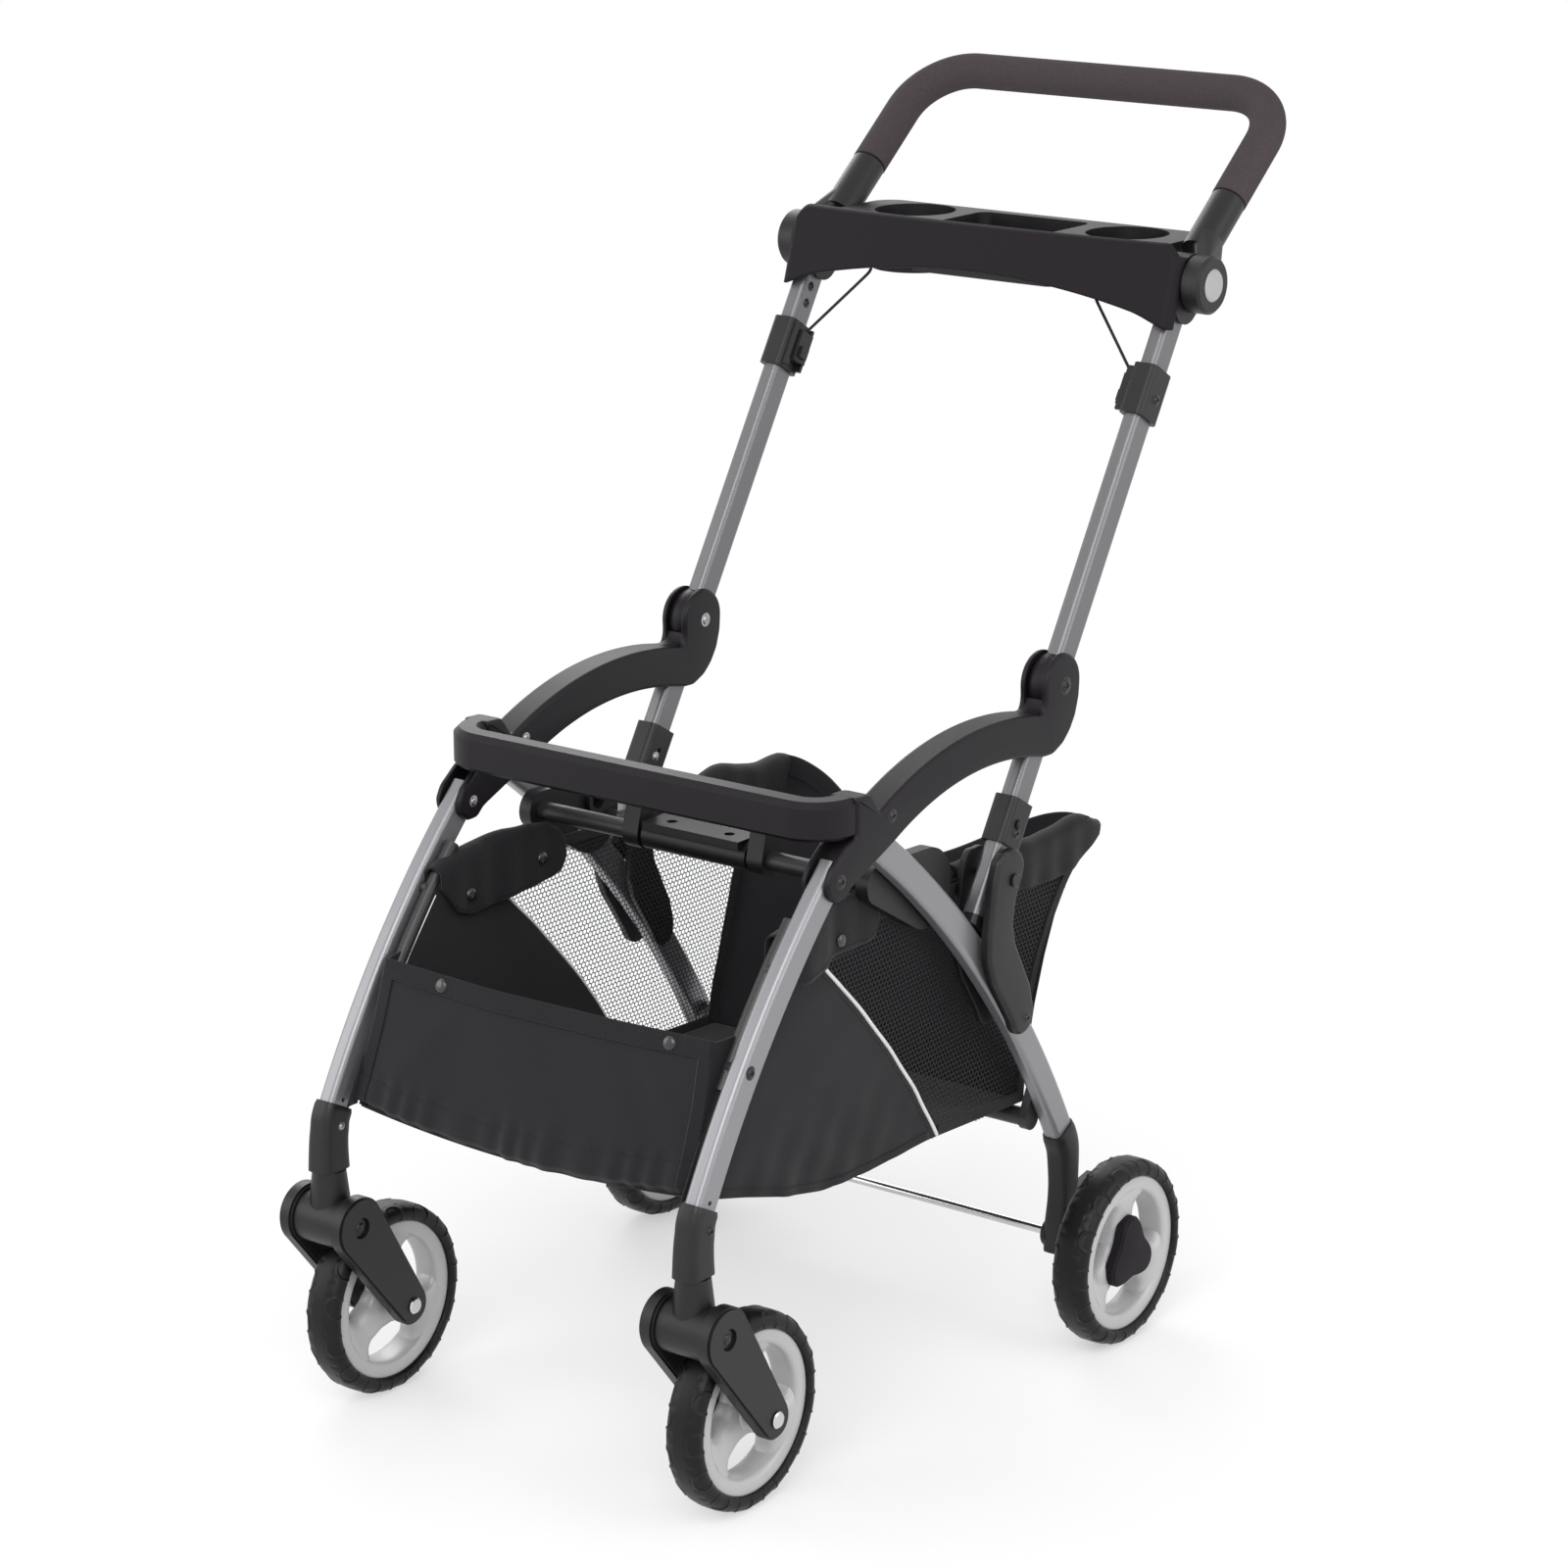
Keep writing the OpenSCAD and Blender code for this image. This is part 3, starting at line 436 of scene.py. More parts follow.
class STROLLER_OT_finishes(bpy.types.Operator):
    """Makes the finishes and puts them on the carried-over solids: paint, mouldings, foam, rubber and steel"""
    bl_idname = "stroller.finishes"
    bl_label = "Finishes"

    def execute(self, context):
        c = context.scene.stroller_colours
        finish("tube_paint", c.tube, 0.36, metal=0.55, grain=1600, bump=0.04, blotch=6, vary=0.05, coat=0.25)
        finish("leg_paint", c.leg, 0.36, metal=0.55, grain=1600, bump=0.04, blotch=6, vary=0.05, coat=0.25)
        finish("arm_grey", c.arm, 0.46, grain=1400, bump=0.05, blotch=9, vary=0.08, spec=0.24)
        finish("black_moulding", c.black, 0.42, grain=1500, bump=0.12, blotch=14, vary=0.25, spec=0.36)
        finish("matt_black", c.arm, 0.6, 1.5, grain=1300, bump=0.16, blotch=10, vary=0.1, spec=0.16)
        finish("black_tube", c.black, 0.25, 0.9, grain=1200, bump=0.03, blotch=8, vary=0.2, coat=0.3)
        finish("grip_foam", c.foam, 0.9, grain=1100, bump=0.35, blotch=420, vary=0.10, spec=0.15)
        finish("button_grey", c.pale, 0.4, 0.8, grain=1500, bump=0.08, blotch=20, vary=0.05)
        finish("rim_grey", c.pale, 0.36, metal=0.1, grain=1500, bump=0.06, blotch=8, vary=0.05)
        finish("tyre_rubber", c.black, 0.42, 0.5, grain=900, bump=0.12, blotch=22, vary=0.25, spec=0.24)
        finish("bright_steel", (0.62, 0.62, 0.63), 0.18, metal=1.0, grain=2000, bump=0.02, blotch=30, vary=0.08)
        finish("rivet_steel", (0.36, 0.36, 0.37), 0.3, metal=0.9, grain=1800, bump=0.04, blotch=40, vary=0.12)
        finish("dark_screw", (0.035, 0.035, 0.037), 0.32, metal=0.7, grain=1500, bump=0.05, blotch=40, vary=0.2)
        finish("cord_black", c.cloth, 0.8, grain=2500, bump=0.4, blotch=60, vary=0.3)
        finish("basket_cloth", c.cloth, 0.78, blotch=7, vary=0.18, sheen=0.12, weave=0.0007, bump=0.35, spec=0.25)
        finish("hem_cloth", c.cloth, 0.8, 0.9, blotch=9, vary=0.2, sheen=0.10, weave=0.0009, bump=0.4, spec=0.25)
        finish("net_yarn", c.cloth, 0.75, 0.9, grain=2500, bump=0.2, blotch=30, vary=0.2)
        finish("piping_pale", c.piping, 0.6, grain=2200, bump=0.2, blotch=40, vary=0.06)
        finish("thread_dark", c.cloth, 0.7, 1.8, grain=3000, bump=0.2, blotch=60, vary=0.2)
        finish("snap_black", (0.016, 0.016, 0.017), 0.2, grain=1500, bump=0.02, blotch=40, vary=0.1, coat=0.4)
        for name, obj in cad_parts.items():
            for slot in obj.material_slots:
                slot.material = bpy.data.materials[NODE_FINISH.get(name, "black_moulding")]
        return {"FINISHED"}


# ---- mouldings

KNUCKLE = (70.7, 584.7)
ARM_C = (-38, 232)  # the middle of the side arms' arcs


def on_arc(centre, radius, degrees):
    """Side-view points on an arc, by the angle from upright, forward angles below zero."""
    a = np.radians(np.asarray(degrees, float))
    return np.stack([centre[0] + radius * np.sin(a), centre[1] + radius * np.cos(a)], -1)


class STROLLER_OT_arms(bpy.types.Operator):
    """The side arms.

    Each arm is two cheeks and a web. All three are plates on side-view outlines made of arcs: the cheeks round off
    toward the outside and carry the knuckle discs, the web fills the arch between them clear of legs and posts
    """
    bl_idname = "stroller.arms"
    bl_label = "Arms"

    def execute(self, context):
        top = arc(ARM_C, 342.5, 117, 78, 40)
        nose = [[-225, 556], [-206, 555], [-193.5, 537.2]]
        cheek = np.concatenate([
            nose, top, [[40, 567], [42.5, 575]],
            arc((68, 586.5), 26, 190, 0, 30), [[93, 572], [88, 556], [80, 544], [70, 535], [55, 528.5]],
            arc(ARM_C, 307.5, 75, 116, 40),
            [[-200, 497], [-232, 484], [-240, 476.5], [-252, 476], [-262, 484], [-264, 494], [-258, 505],
             [-238, 520], [-225, 524]]])
        web = np.concatenate([
            nose, top, [[40, 569.3], [44, 573.5]], arc(KNUCKLE, 25.9, 196, 209.5, 12),
            [[39.0, 557.2], [28.6, 540], [24, 532.4]], arc(ARM_C, 307.5, 78.6, 113, 36),
            [[-166, 516], [-178, 528], [-205, 532], [-225, 531]]])
        cheek, web = loop(cheek, 420, 2), loop(web, 360, 1)
        for name, side in HANDS:
            parts = [plate(cheek, 198.6, 204, 0.2, 3.4, side, 7), plate(cheek, 176, 181.4, 3.4, 0.2, side, 7),
                     plate(web, 181, 199, 0.2, 0.2, side, 2)]
            arm = piece(f"arm_{name}_moulding", parts, "arm_grey", smooth_angle=42)
            dress(arm, "front_frame", f"arm_{name}")
        profile = [[3, 8.3], [22.5, 8.3], [24.4, 7.6], [25.2, 6.4], [25.3, 0], [25.2, -6.4], [24.4, -7.6],
                   [22.5, -8.3], [3, -8.3]]
        drums = [closed_ring(turned(profile, s * SIDE_X, *KNUCKLE, 120, s)) for s in (1, -1)]
        drum = piece("knuckle_drums", drums, "arm_grey", smooth_angle=50)
        dress(drum, "posts", "knuckle_housings")
        return {"FINISHED"}


class STROLLER_OT_sockets(bpy.types.Operator):
    """Leg ends.

    The caster sockets and the sleeves of the rear feet are rounded box sections carried along the end of a leg's arc
    and on, along a smooth side-view curve, to the swivel joint or to the axle
    """
    bl_idname = "stroller.sockets"
    bl_label = "Leg Ends"

    def execute(self, context):
        path = np.concatenate([on_arc(FRONT_C, FRONT_R, [-62.1, -62.5, -62.9]),
                               [[-417.6, 252], [-419.4, 242], [-420, 230], [-420, 216.2]]])
        path = spread(path, 36, 8)
        u = np.linspace(0, 1, 36)
        lip = 0.9 * np.exp(-(u / 0.04) ** 2)
        across, deep = 11.2 + 1.5 * u - lip, 16.0 - 0.9 * np.sin(math.pi * u) - lip
        parts = [sleeve(path, s * SIDE_X, across, deep, 4.0) for s in (1, -1)]
        sockets = piece("caster_socket_mouldings", parts, "black_moulding", smooth_angle=60)
        dress(sockets, "front_frame", "caster_sockets")
        path = np.concatenate([on_arc(REAR_C, REAR_R, [62.4, 63.0, 63.6]),
                               [[102.5, 148], [103, 130], [101.5, 112], [99, 96], [98, 82], [98, 68]]])
        path = spread(path, 48, 8)
        u = np.linspace(0, 1, 48)
        lip = 0.9 * np.exp(-(u / 0.03) ** 2)
        across, deep = 10.9 - 0.8 * u - lip, 15.2 - 3.0 * step(u, 0.1, 0.6) + 2.0 * step(u, 0.6, 0.9) - lip
        lug = loop(np.concatenate([arc((97, 82), 13, 75, 265, 26), arc((128, 96), 7.5, -60, 110, 18)]), 120, 2)
        parts = []
        for s in (1, -1):
            parts += [sleeve(path, s * SIDE_X, across, deep, 3.6), plate(lug, 196.4, 201.5, 0.3, 1.6, s, 4),
                      plate(lug, 178.5, 183.6, 1.6, 0.3, s, 4)]
        feet = piece("rear_foot_mouldings", parts, "black_moulding", smooth_angle=60)
        dress(feet, "rear_frame", "rear_feet")
        return {"FINISHED"}


class STROLLER_OT_apron(bpy.types.Operator):
    """The tray's front apron.

    A plan curve, a shallow bow with a quarter circle at either end, is carried up a leaning face. Its lower edge
    follows an arch, its upper edge drops at the ends, and the top rows roll back over a small radius
    """
    bl_idname = "stroller.apron"
    bl_label = "Apron"
    BOW, CORNER, END = 194.0, 8.3, 202.3  # half width of the bow, radius of the quarter circles, half width in all
    ARCH, LEAN, ROLL = 760.0, 0.31, 4  # radius of the lower edge, depth over height of the face, radius of the top

    def execute(self, context):
        x = np.linspace(0, self.BOW, 90)
        turn = np.linspace(0, math.pi / 2, 14)[1:]
        px = np.concatenate([x, self.BOW + self.CORNER * np.sin(turn), [self.END]])
        py = np.concatenate([x ** 2 / 3968, 9.5 + self.CORNER * (1 - np.cos(turn)), [19.2]])
        low = 133 + np.sqrt(self.ARCH ** 2 - px ** 2) - 3.5 * step(px, 165, self.END)
        top = 931 - 11 * step(px, 186, self.END) ** 1.5
        px, py, low, top = (np.concatenate([s * v[:0:-1], v]) for v, s in ((px, -1), (py, 1), (low, 1), (top, 1)))
        rise = np.linspace(0, 1, 24)
        roll = np.linspace(0, math.pi / 2, 8)[1:]
        bend = top - self.ROLL
        z = np.concatenate([low[:, None] + (bend - low)[:, None] * rise, bend[:, None] + self.ROLL * np.sin(roll)], 1)
        back = np.concatenate([0 * rise, self.ROLL * (1 - np.cos(roll))])
        y = 208.2 + (z - 863) * self.LEAN + py[:, None] + back
        obj = skin("tray_apron_moulding", [xyz(px[:, None], y, z)], "matt_black", 2.6)
        dress(obj, "posts", "tray_apron")
        return {"FINISHED"}


class STROLLER_OT_screws(bpy.types.Operator):
    """Screw heads and rivet ends: low domes on shallow rings, cross recesses outside, plain bright ends inside"""
    bl_idname = "stroller.screws"
    bl_label = "Screws"

    def execute(self, context):
        dark = {
            "front_frame": [(204, -178, 531, 4.0), (204, -247, 493, 4.4), (204, *KNUCKLE, 5.6),
                            (198, -357, 365, 4.2), (201.5, -413, 253, 3.6)],
            "posts": [(201.6, 3, 472, 3.8), (201.6, 206, 805, 3.8), (-182, 235, 859, 3.2), (-182, 228, 845, 3.2)],
        }
        bright = {
            "front_frame": [(176, -177, 531.5, 3.4), (176, -246, 492, 3.6), (176, *KNUCKLE, 4.4),
                            (178.5, -416, 254, 2.8)],
            "posts": [(178.4, 1, 474, 3.2)],
            "rear_frame": [(170, -116, 432, 3.6), (170, -70, 430, 3.6)],
        }
        for word, table, look, cross, node in (("screw", dark, "dark_screw", 0.9, "frame_screws"),
                                               ("rivet", bright, "rivet_steel", 0.5, "pivot_bolts")):
            for body, heads in table.items():
                parts = []
                for s in (1, -1):
                    for x, y, z, r in heads:
                        out = s if (word == "screw") == (x > 0) else -s
                        parts += self.head(abs(x) * s, y, z, r, out, cross)
                obj = piece(f"{word}_heads_{body}", parts, look, smooth_angle=40)
                dress(obj, body, node if body == "front_frame" else None)
        for name, s in HANDS:
            foot = piece(f"brace_{name}_screw", self.head(212 * s, 8, 311, 3.4, s, 0.9), "dark_screw", smooth_angle=40)
            dress(foot, f"brace_{name[0]}")
            parts = [dome((SIDE_X * s + out * 32.2, *FORK_BOLT), (out, 0, 0), *shape)
                     for out in (1, -1) for shape in ((5.4, 2.2, 6, 5), (8.4, 0.7, 36, 5))]
            bolt = piece(f"fork_{name}_bolts", parts, "dark_screw", smooth_angle=40)
            dress(bolt, f"fork_{name[0]}")
        return {"FINISHED"}

    @staticmethod
    def head(x, y, z, r, out, cross):
        """A ring and a dome at a point of a side face, facing along out."""
        return [dome((x, y, z), (out, 0, 0), r * 1.4, 0.5, 32, 5),
                dome((x + 0.35 * out, y, z), (out, 0, 0), r, 1.5, 48, 14, cross)]


class STROLLER_OT_cords(bpy.types.Operator):
    """The release cords: a round section carried along a line from each slider up to the tray, bent under it"""
    bl_idname = "stroller.cords"
    bl_label = "Release Cords"

    def execute(self, context):
        for name, s in HANDS:
            chain = np.array([[172, 214.7, 821.6], [145, 226.4, 850.4], [121, 236.7, 876], [118, 238, 880],
                              [118, 238, 884], [118, 238, 902]])
            path = spread(chain * [s, 1, 1], 60, 2)
            parts = [tube(carried(path, ring(1.35, 14), (0, 1, 0)))]
            obj = piece(f"release_cord_{name}", parts, "cord_black", smooth_angle=60)
            dress(obj, "sliders")
        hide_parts("release_cords")
        return {"FINISHED"}


class STROLLER_OT_braces(bpy.types.Operator):
    """The lock braces: an outer and an inner plate on a bent outline of arcs, rounded outside, with a stop between"""
    bl_idname = "stroller.braces"
    bl_label = "Braces"

    def execute(self, context):
        front = [[-36, 458], [-42, 440], [-45, 418], [-48.5, 396], [-48.5, 374], [-40, 352], [-26, 332], [-12, 312]]
        rear = [[19, 309], [20, 318], [14, 340], [2, 362], [-9, 382], [-13, 400], [-9, 420], [0, 438], [3, 448]]
        outline = np.concatenate([front, arc((4, 312), 15, 195, 345, 16), rear, arc((-14, 448), 16, 10, 110, 14),
                                  [[-28, 464.5]]])
        outer = loop(outline, 220, 3)
        middle = outer.mean(0)
        inner = middle + (outer - middle) * [0.9, 0.965]
        for name, s in HANDS:
            stop = plate(loop(arc((-13, 396), 4.2, 0, 345, 24), 40, 0), 176.5, 203, 0.2, 0.2, s, 2)
            parts = [plate(outer, 202.4, 212, 1.2, 4.2, s, 8), plate(inner, 170.5, 176.6, 2.2, 0.6, s, 5), stop]
            obj = piece(f"brace_{name}_moulding", parts, "black_moulding", smooth_angle=45)
            dress(obj, f"brace_{name[0]}", f"brace_{name}")
        return {"FINISHED"}


# ---- wheels

class STROLLER_OT_tyres(bpy.types.Operator):
    """Four tyres.

    A section of (radius, reach) points is turned about the axle; the surface moves along the radius and the reach by
    a relief of the angle and the distance round the section: half rings on the shoulders, waves along the tread's edges
    """
    bl_idname = "stroller.tyres"
    bl_label = "Tyres"

    def execute(self, context):
        w = context.scene.stroller_wheels
        r, k = w.radius / MM, w.rim_radius / MM
        h = r - k
        half = np.array([[k - 0.4, 13.5], [k + 0.03 * h, 15.6], [k + 0.16 * h, 16.7], [k + 0.36 * h, 16.9],
                         [k + 0.6 * h, 15.9], [k + 0.8 * h, 13.6], [k + 0.93 * h, 10.2], [r - 0.15, 6], [r, 2]])
        whole = spread(np.concatenate([half, (half * [1, -1])[::-1]]), 66, smooth=2)
        s = distance(whole)
        s = np.abs(s - s[-1] / 2)
        out = left_of(tangents(whole))
        n = 720
        a = np.arange(n)[:, None] * TAU / n
        shift = np.where(whole[:, 1] > 0, 0.0, 0.5)
        turn = a * w.rings / TAU + shift
        q = (turn - np.round(turn)) * TAU * r / w.rings
        far = np.hypot(q, s - (s.max() - 9.0))
        relief = (0.7 * np.exp(-((far - 10.0) / 0.8) ** 2) - 0.4 * step(far, 10.0, 8.8)) * step(s, 5.5, 8.0)
        wave = 0.5 + 0.5 * np.cos(a * w.waves + 6 * shift)
        relief -= 0.45 * wave ** 2 * step(s, 5.0, 8.0) * step(s, 14.0, 10.0) * step(far, 10.0, 12.0)
        relief *= step(s, s.max() - 1, s.max() - 4)
        outward = np.sign((out[:, :1] * (whole[:, :1] - k)).sum() + 1e-9)
        section = whole[None] + relief[..., None] * out * outward
        for end, hand, x, y, side in WHEELS:
            pts = turned(section, x, y, WHEEL_Z, n, side)
            obj = piece(f"{end}_{hand}_tyre", [closed_ring(pts)], "tyre_rubber")
            dress(obj, f"{end}_wheel_{hand[0]}", f"{end}_tyre_{hand}")
        return {"FINISHED"}


def spoke(x, y, side, angle, dish):
    """One rim spoke: a rounded section carried outward from the hub, widening toward the hub and the ring."""
    r = np.linspace(7, 57.5, 34)
    wide = 15.5 + 17 * step(r, 32, 58) ** 1.5 + 4.5 * step(r, 24, 8)
    deep = 11.3 + 1.9 * step(r, 38, 55) - 1.0 * np.sin(math.pi * (r - 7) / 50.5)
    u, v = rounded(36, 3.2)
    along = r[:, None] - 0.5 * (wide[:, None] * u) ** 2 / 60 * step(r, 40, 56)[:, None]
    across = wide[:, None] * u * (1 - 0.10 * (v > 0) * v)
    return tube(xyz(x + side * (deep[:, None] * v - dish * step(r, 46, 14)[:, None]),
                    y + along * math.cos(angle) - across * math.sin(angle),
                    WHEEL_Z + along * math.sin(angle) + across * math.cos(angle)))


class STROLLER_OT_rims(bpy.types.Operator):
    """Four rims and the rear caps.

    Each rim is a turned ring with a deep smooth inner wall, a turned hub and three spokes. A rear cap is a polar grid
    whose edge radius swings between three lobes and whose reach is a low crown with a rounded edge
    """
    bl_idname = "stroller.rims"
    bl_label = "Rims and Caps"

    def execute(self, context):
        half = np.array([[68.4, 0], [68.4, 11.6], [67.7, 12.9], [66.3, 13.4], [59.5, 13.5], [57.0, 13.0],
                         [55.3, 11.6], [54.4, 9.0], [54.0, 5.0], [53.9, 0]])
        ring_line = np.concatenate([half, (half * [1, -1])[-2:0:-1]])
        hub = [[4.5, 11.0], [12.5, 10.8], [15.0, 9.4], [16.2, 6.5], [16.5, 0], [16.5, -9.5], [13, -12.6], [4.5, -12.8]]
        a = np.arange(240)[:, None] * TAU / 240
        edge = 22.0 + 12.5 * ((1 + np.cos(3 * (a - math.radians(92)))) / 2) ** 1.15
        face, bend = np.linspace(0.02, 0.93, 12), np.linspace(0, 1, 7)[1:] * math.pi / 2
        q = np.concatenate([face, 1 - 0.07 * np.cos(bend), [1.0]])
        drop = np.concatenate([1.4 * face ** 2, 1.4 + 2.0 * np.sin(bend), [11.0]])
        crown = np.stack(np.broadcast_arrays(edge * q, 18.5 - drop), -1)
        for end, hand, x, y, side in WHEELS:
            parts = [closed_ring(turned(line, x, y, WHEEL_Z, n, side)) for line, n in ((ring_line, 240), (hub, 72))]
            parts += [spoke(x, y, side, math.radians(d), 1.6) for d in (90, 210, 330)]
            obj = piece(f"{end}_{hand}_rim", parts, "rim_grey", smooth_angle=48)
            dress(obj, f"{end}_wheel_{hand[0]}", f"{end}_rim_{hand}")
            if end == "rear":
                cap = piece(f"rear_{hand}_cap", [polar(turned(crown, x, y, WHEEL_Z, 240, side))], "matt_black",
                            smooth_angle=50)
                dress(cap, f"rear_wheel_{hand[0]}", f"rear_cap_{hand}")
        return {"FINISHED"}


# ---- basket

PIPING = np.array([[-242, 434], [-221, 408], [-178, 367], [-128, 313], [-93, 269], [-67, 228], [-60, 217]], float)
FRONT_EDGE = np.array([[-276, 456], [-306, 424], [-336, 386], [-364, 346], [-388, 306], [-404, 272], [-384, 262],
                       [-326, 246], [-274, 230], [-221, 218.5], [-156, 215.5], [-72, 217]], float)
TOP_EDGE = np.array([[-242, 434], [-230, 446], [-205, 452], [-180, 448], [-164, 444], [-148, 439], [-120, 437],
                     [-74, 433], [0, 432], [60, 430], [120, 430], [166, 436]], float)
REAR_EDGE = np.array([[166, 436], [156, 414], [134, 392], [115, 366], [100, 333], [86, 293], [75, 250],
                      [70, 209]], float)
FLOOR_EDGE = np.array([[70, 209], [49, 210], [0, 213], [-60, 217]], float)


def wall_x(y, z, half, sag):
    """Distance of the side walls from the middle: the half width less an inward bow, broad folds and small ones."""
    bow = sag * np.exp(-((y - 20) / 130) ** 2) * np.exp(-((z - 310) / 70) ** 2)
    fold = 0.8 * np.sin(0.06 * y + 0.035 * z) + 0.6 * np.sin(0.11 * z - 0.05 * y + 1.3)
    low = np.exp(-((z - 236) / 42) ** 2) * np.exp(-((y + 250) / 130) ** 2)
    fold = fold + 4.6 * low * (np.sin(0.085 * (y + 1.1 * z)) + 0.6 * np.sin(0.15 * (y - 0.5 * z) + 0.7))
    return half - bow - 0.5 * (1 + 0.6 * fold)


def cloth_blend(obj):
    """Bakes a cloth piece's placement into its mesh; the piece is not put on any body."""
    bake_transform(obj)


def folded_band(y, top, low_in, low_out, x_in, x_out, s, ripple):
    """Cloth folded over an edge: each section climbs the inner face, turns over in a half circle, hangs outside.

    Small waves along y, growing toward the free edges, stand for the slack in the cloth.
    """
    up, turn = np.linspace(0, 1, 12), np.linspace(0, math.pi, 11)[1:-1]
    r = (x_out - x_in) / 2
    crown = top - r * 0.8
    x = np.concatenate([x_in[:, None] + 0 * up, (x_in + r)[:, None] - r[:, None] * np.cos(turn),
                        x_out[:, None] + 0 * up], 1)
    z = np.concatenate([low_in[:, None] + (crown - low_in)[:, None] * up,
                        crown[:, None] + r[:, None] * 0.8 * np.sin(turn),
                        low_out[:, None] + (crown - low_out)[:, None] * up[::-1]], 1)
    free = np.concatenate([1 - up, 0 * turn, (1 - up)[::-1]])[None]
    away = np.concatenate([-1 + 0 * up, -np.cos(turn), 1 + 0 * up])[None]
    wave = np.sin(0.19 * y[:, None] + 0.6 * away) + 0.7 * np.sin(0.083 * y[:, None] + 2 * free + away)
    x = x + away * ripple * wave * (0.35 + 0.65 * free)
    z = z + 0.8 * ripple * np.sin(0.11 * y[:, None] + 1.0) * (1 - free)
    return xyz(s * x, y[:, None], z)


class STROLLER_OT_basket_front(bpy.types.Operator):
    """The basket's front panel.

    A grid across the width and down the height: the top edge sags a little, the bottom edge hangs in an arc, the
    middle bellies forward, and soft folds gather along the lower edge. Hems, returns, sewing rows and snaps lie on it
    """
    bl_idname = "stroller.basket_front"
    bl_label = "Basket Front"

    def execute(self, context):
        a, t = np.linspace(-1, 1, 201), np.linspace(0, 1, 101)
        pts = self.panel(a[:, None], t[None])
        panel = skin("basket_front_cloth", [pts], "basket_cloth", 1.4)
        dress(panel, "front_frame", "basket_front_panel")
        lift = np.array([0, -0.94, 0.33])
        hem = self.panel(a[:, None], np.linspace(-0.012, 0.118, 12)[None]) + lift * 1.5
        side = []
        for s in (-1, 1):
            edge = np.linspace(0.93, 1.004, 8)[None] * s
            side.append(self.panel(edge.T, t[None]) + lift * 1.1)
            rim = self.panel(s, t * 1.03)
            stay = xyz(s * 173.5, front_leg_y(rim[:, 2]) - 3, rim[:, 2] + 0.5)
            w = np.linspace(0, 1, 12)[:, None, None]
            back = rim[None] * (1 - w) + stay[None] * w
            back[..., 0] += s * 0.5 * np.sin(math.pi * w[..., 0])
            side.append(back)
        hems = skin("basket_front_hem", [hem] + side, "hem_cloth", 1.4)
        rows = [stitches(self.panel(p, q) + lift * off, lift) for p, q, off in (
            (a, 0.112, 2.3), (a, 0.02, 2.3), (a, 0.80, 0.9), (-0.935, t, 1.9), (0.935, t, 1.9))]
        sewing = piece("basket_front_sewing", rows, "thread_dark")
        heads = [dome(self.panel(np.array(p), np.array(0.06)) + lift * 2.1, (0.1 * p, -0.95, 0.3), 6.2, 2.6, 28, 9)
                 for p in (-0.62, 0.76)]
        snaps = piece("basket_front_snaps", heads, "snap_black")
        for obj in (hems, sewing, snaps):
            dress(obj, "front_frame")
        return {"FINISHED"}

    @staticmethod
    def panel(a, t):
        """Points of the panel at a across (-1 to 1) and t down (0 to 1)."""
        a, t = np.broadcast_arrays(np.asarray(a, float), np.asarray(t, float))
        top = 386.5 - 3.0 * (1 - a ** 2)
        low = 274 - 13 * (1 - a ** 2)
        z = top + (low - top) * t
        y = np.interp(z, [256, 275, 300, 338, 388], [-409, -405, -393.5, -378.5, -365])
        belly = 6 * np.clip(1 - a ** 2, 0, 1) ** 0.8 * np.sin(math.pi * np.clip(0.1 + 0.75 * t, 0, 1))
        gather = 1.1 * np.sin(21 * a + 2.1 * np.sin(5 * a)) * step(t, 0.5, 0.95) * (0.35 + 0.65 * np.abs(a))
        gather += 0.8 * np.sin(43 * a + 1.3 + 2 * np.sin(9 * a)) * step(t, 0.66, 0.86)
        fan = 2.4 * np.exp(-((np.abs(a) - 0.9 + 0.45 * (1 - t)) / 0.10) ** 2) * 4 * t * (1 - t)
        soft = 0.8 * np.sin(4.1 * a + 3 * t) + 0.5 * np.sin(9 * a - 4 * t + 1)
        crease = 0.9 * np.exp(-((t - 0.8) / 0.014) ** 2)
        tuck = 5 * step(t, 0.94, 1.0)
        y = y - belly + gather + fan * np.sign(a) * 0.6 + soft + crease + tuck
        return xyz(a * (169.5 + 5 * t), y, z)


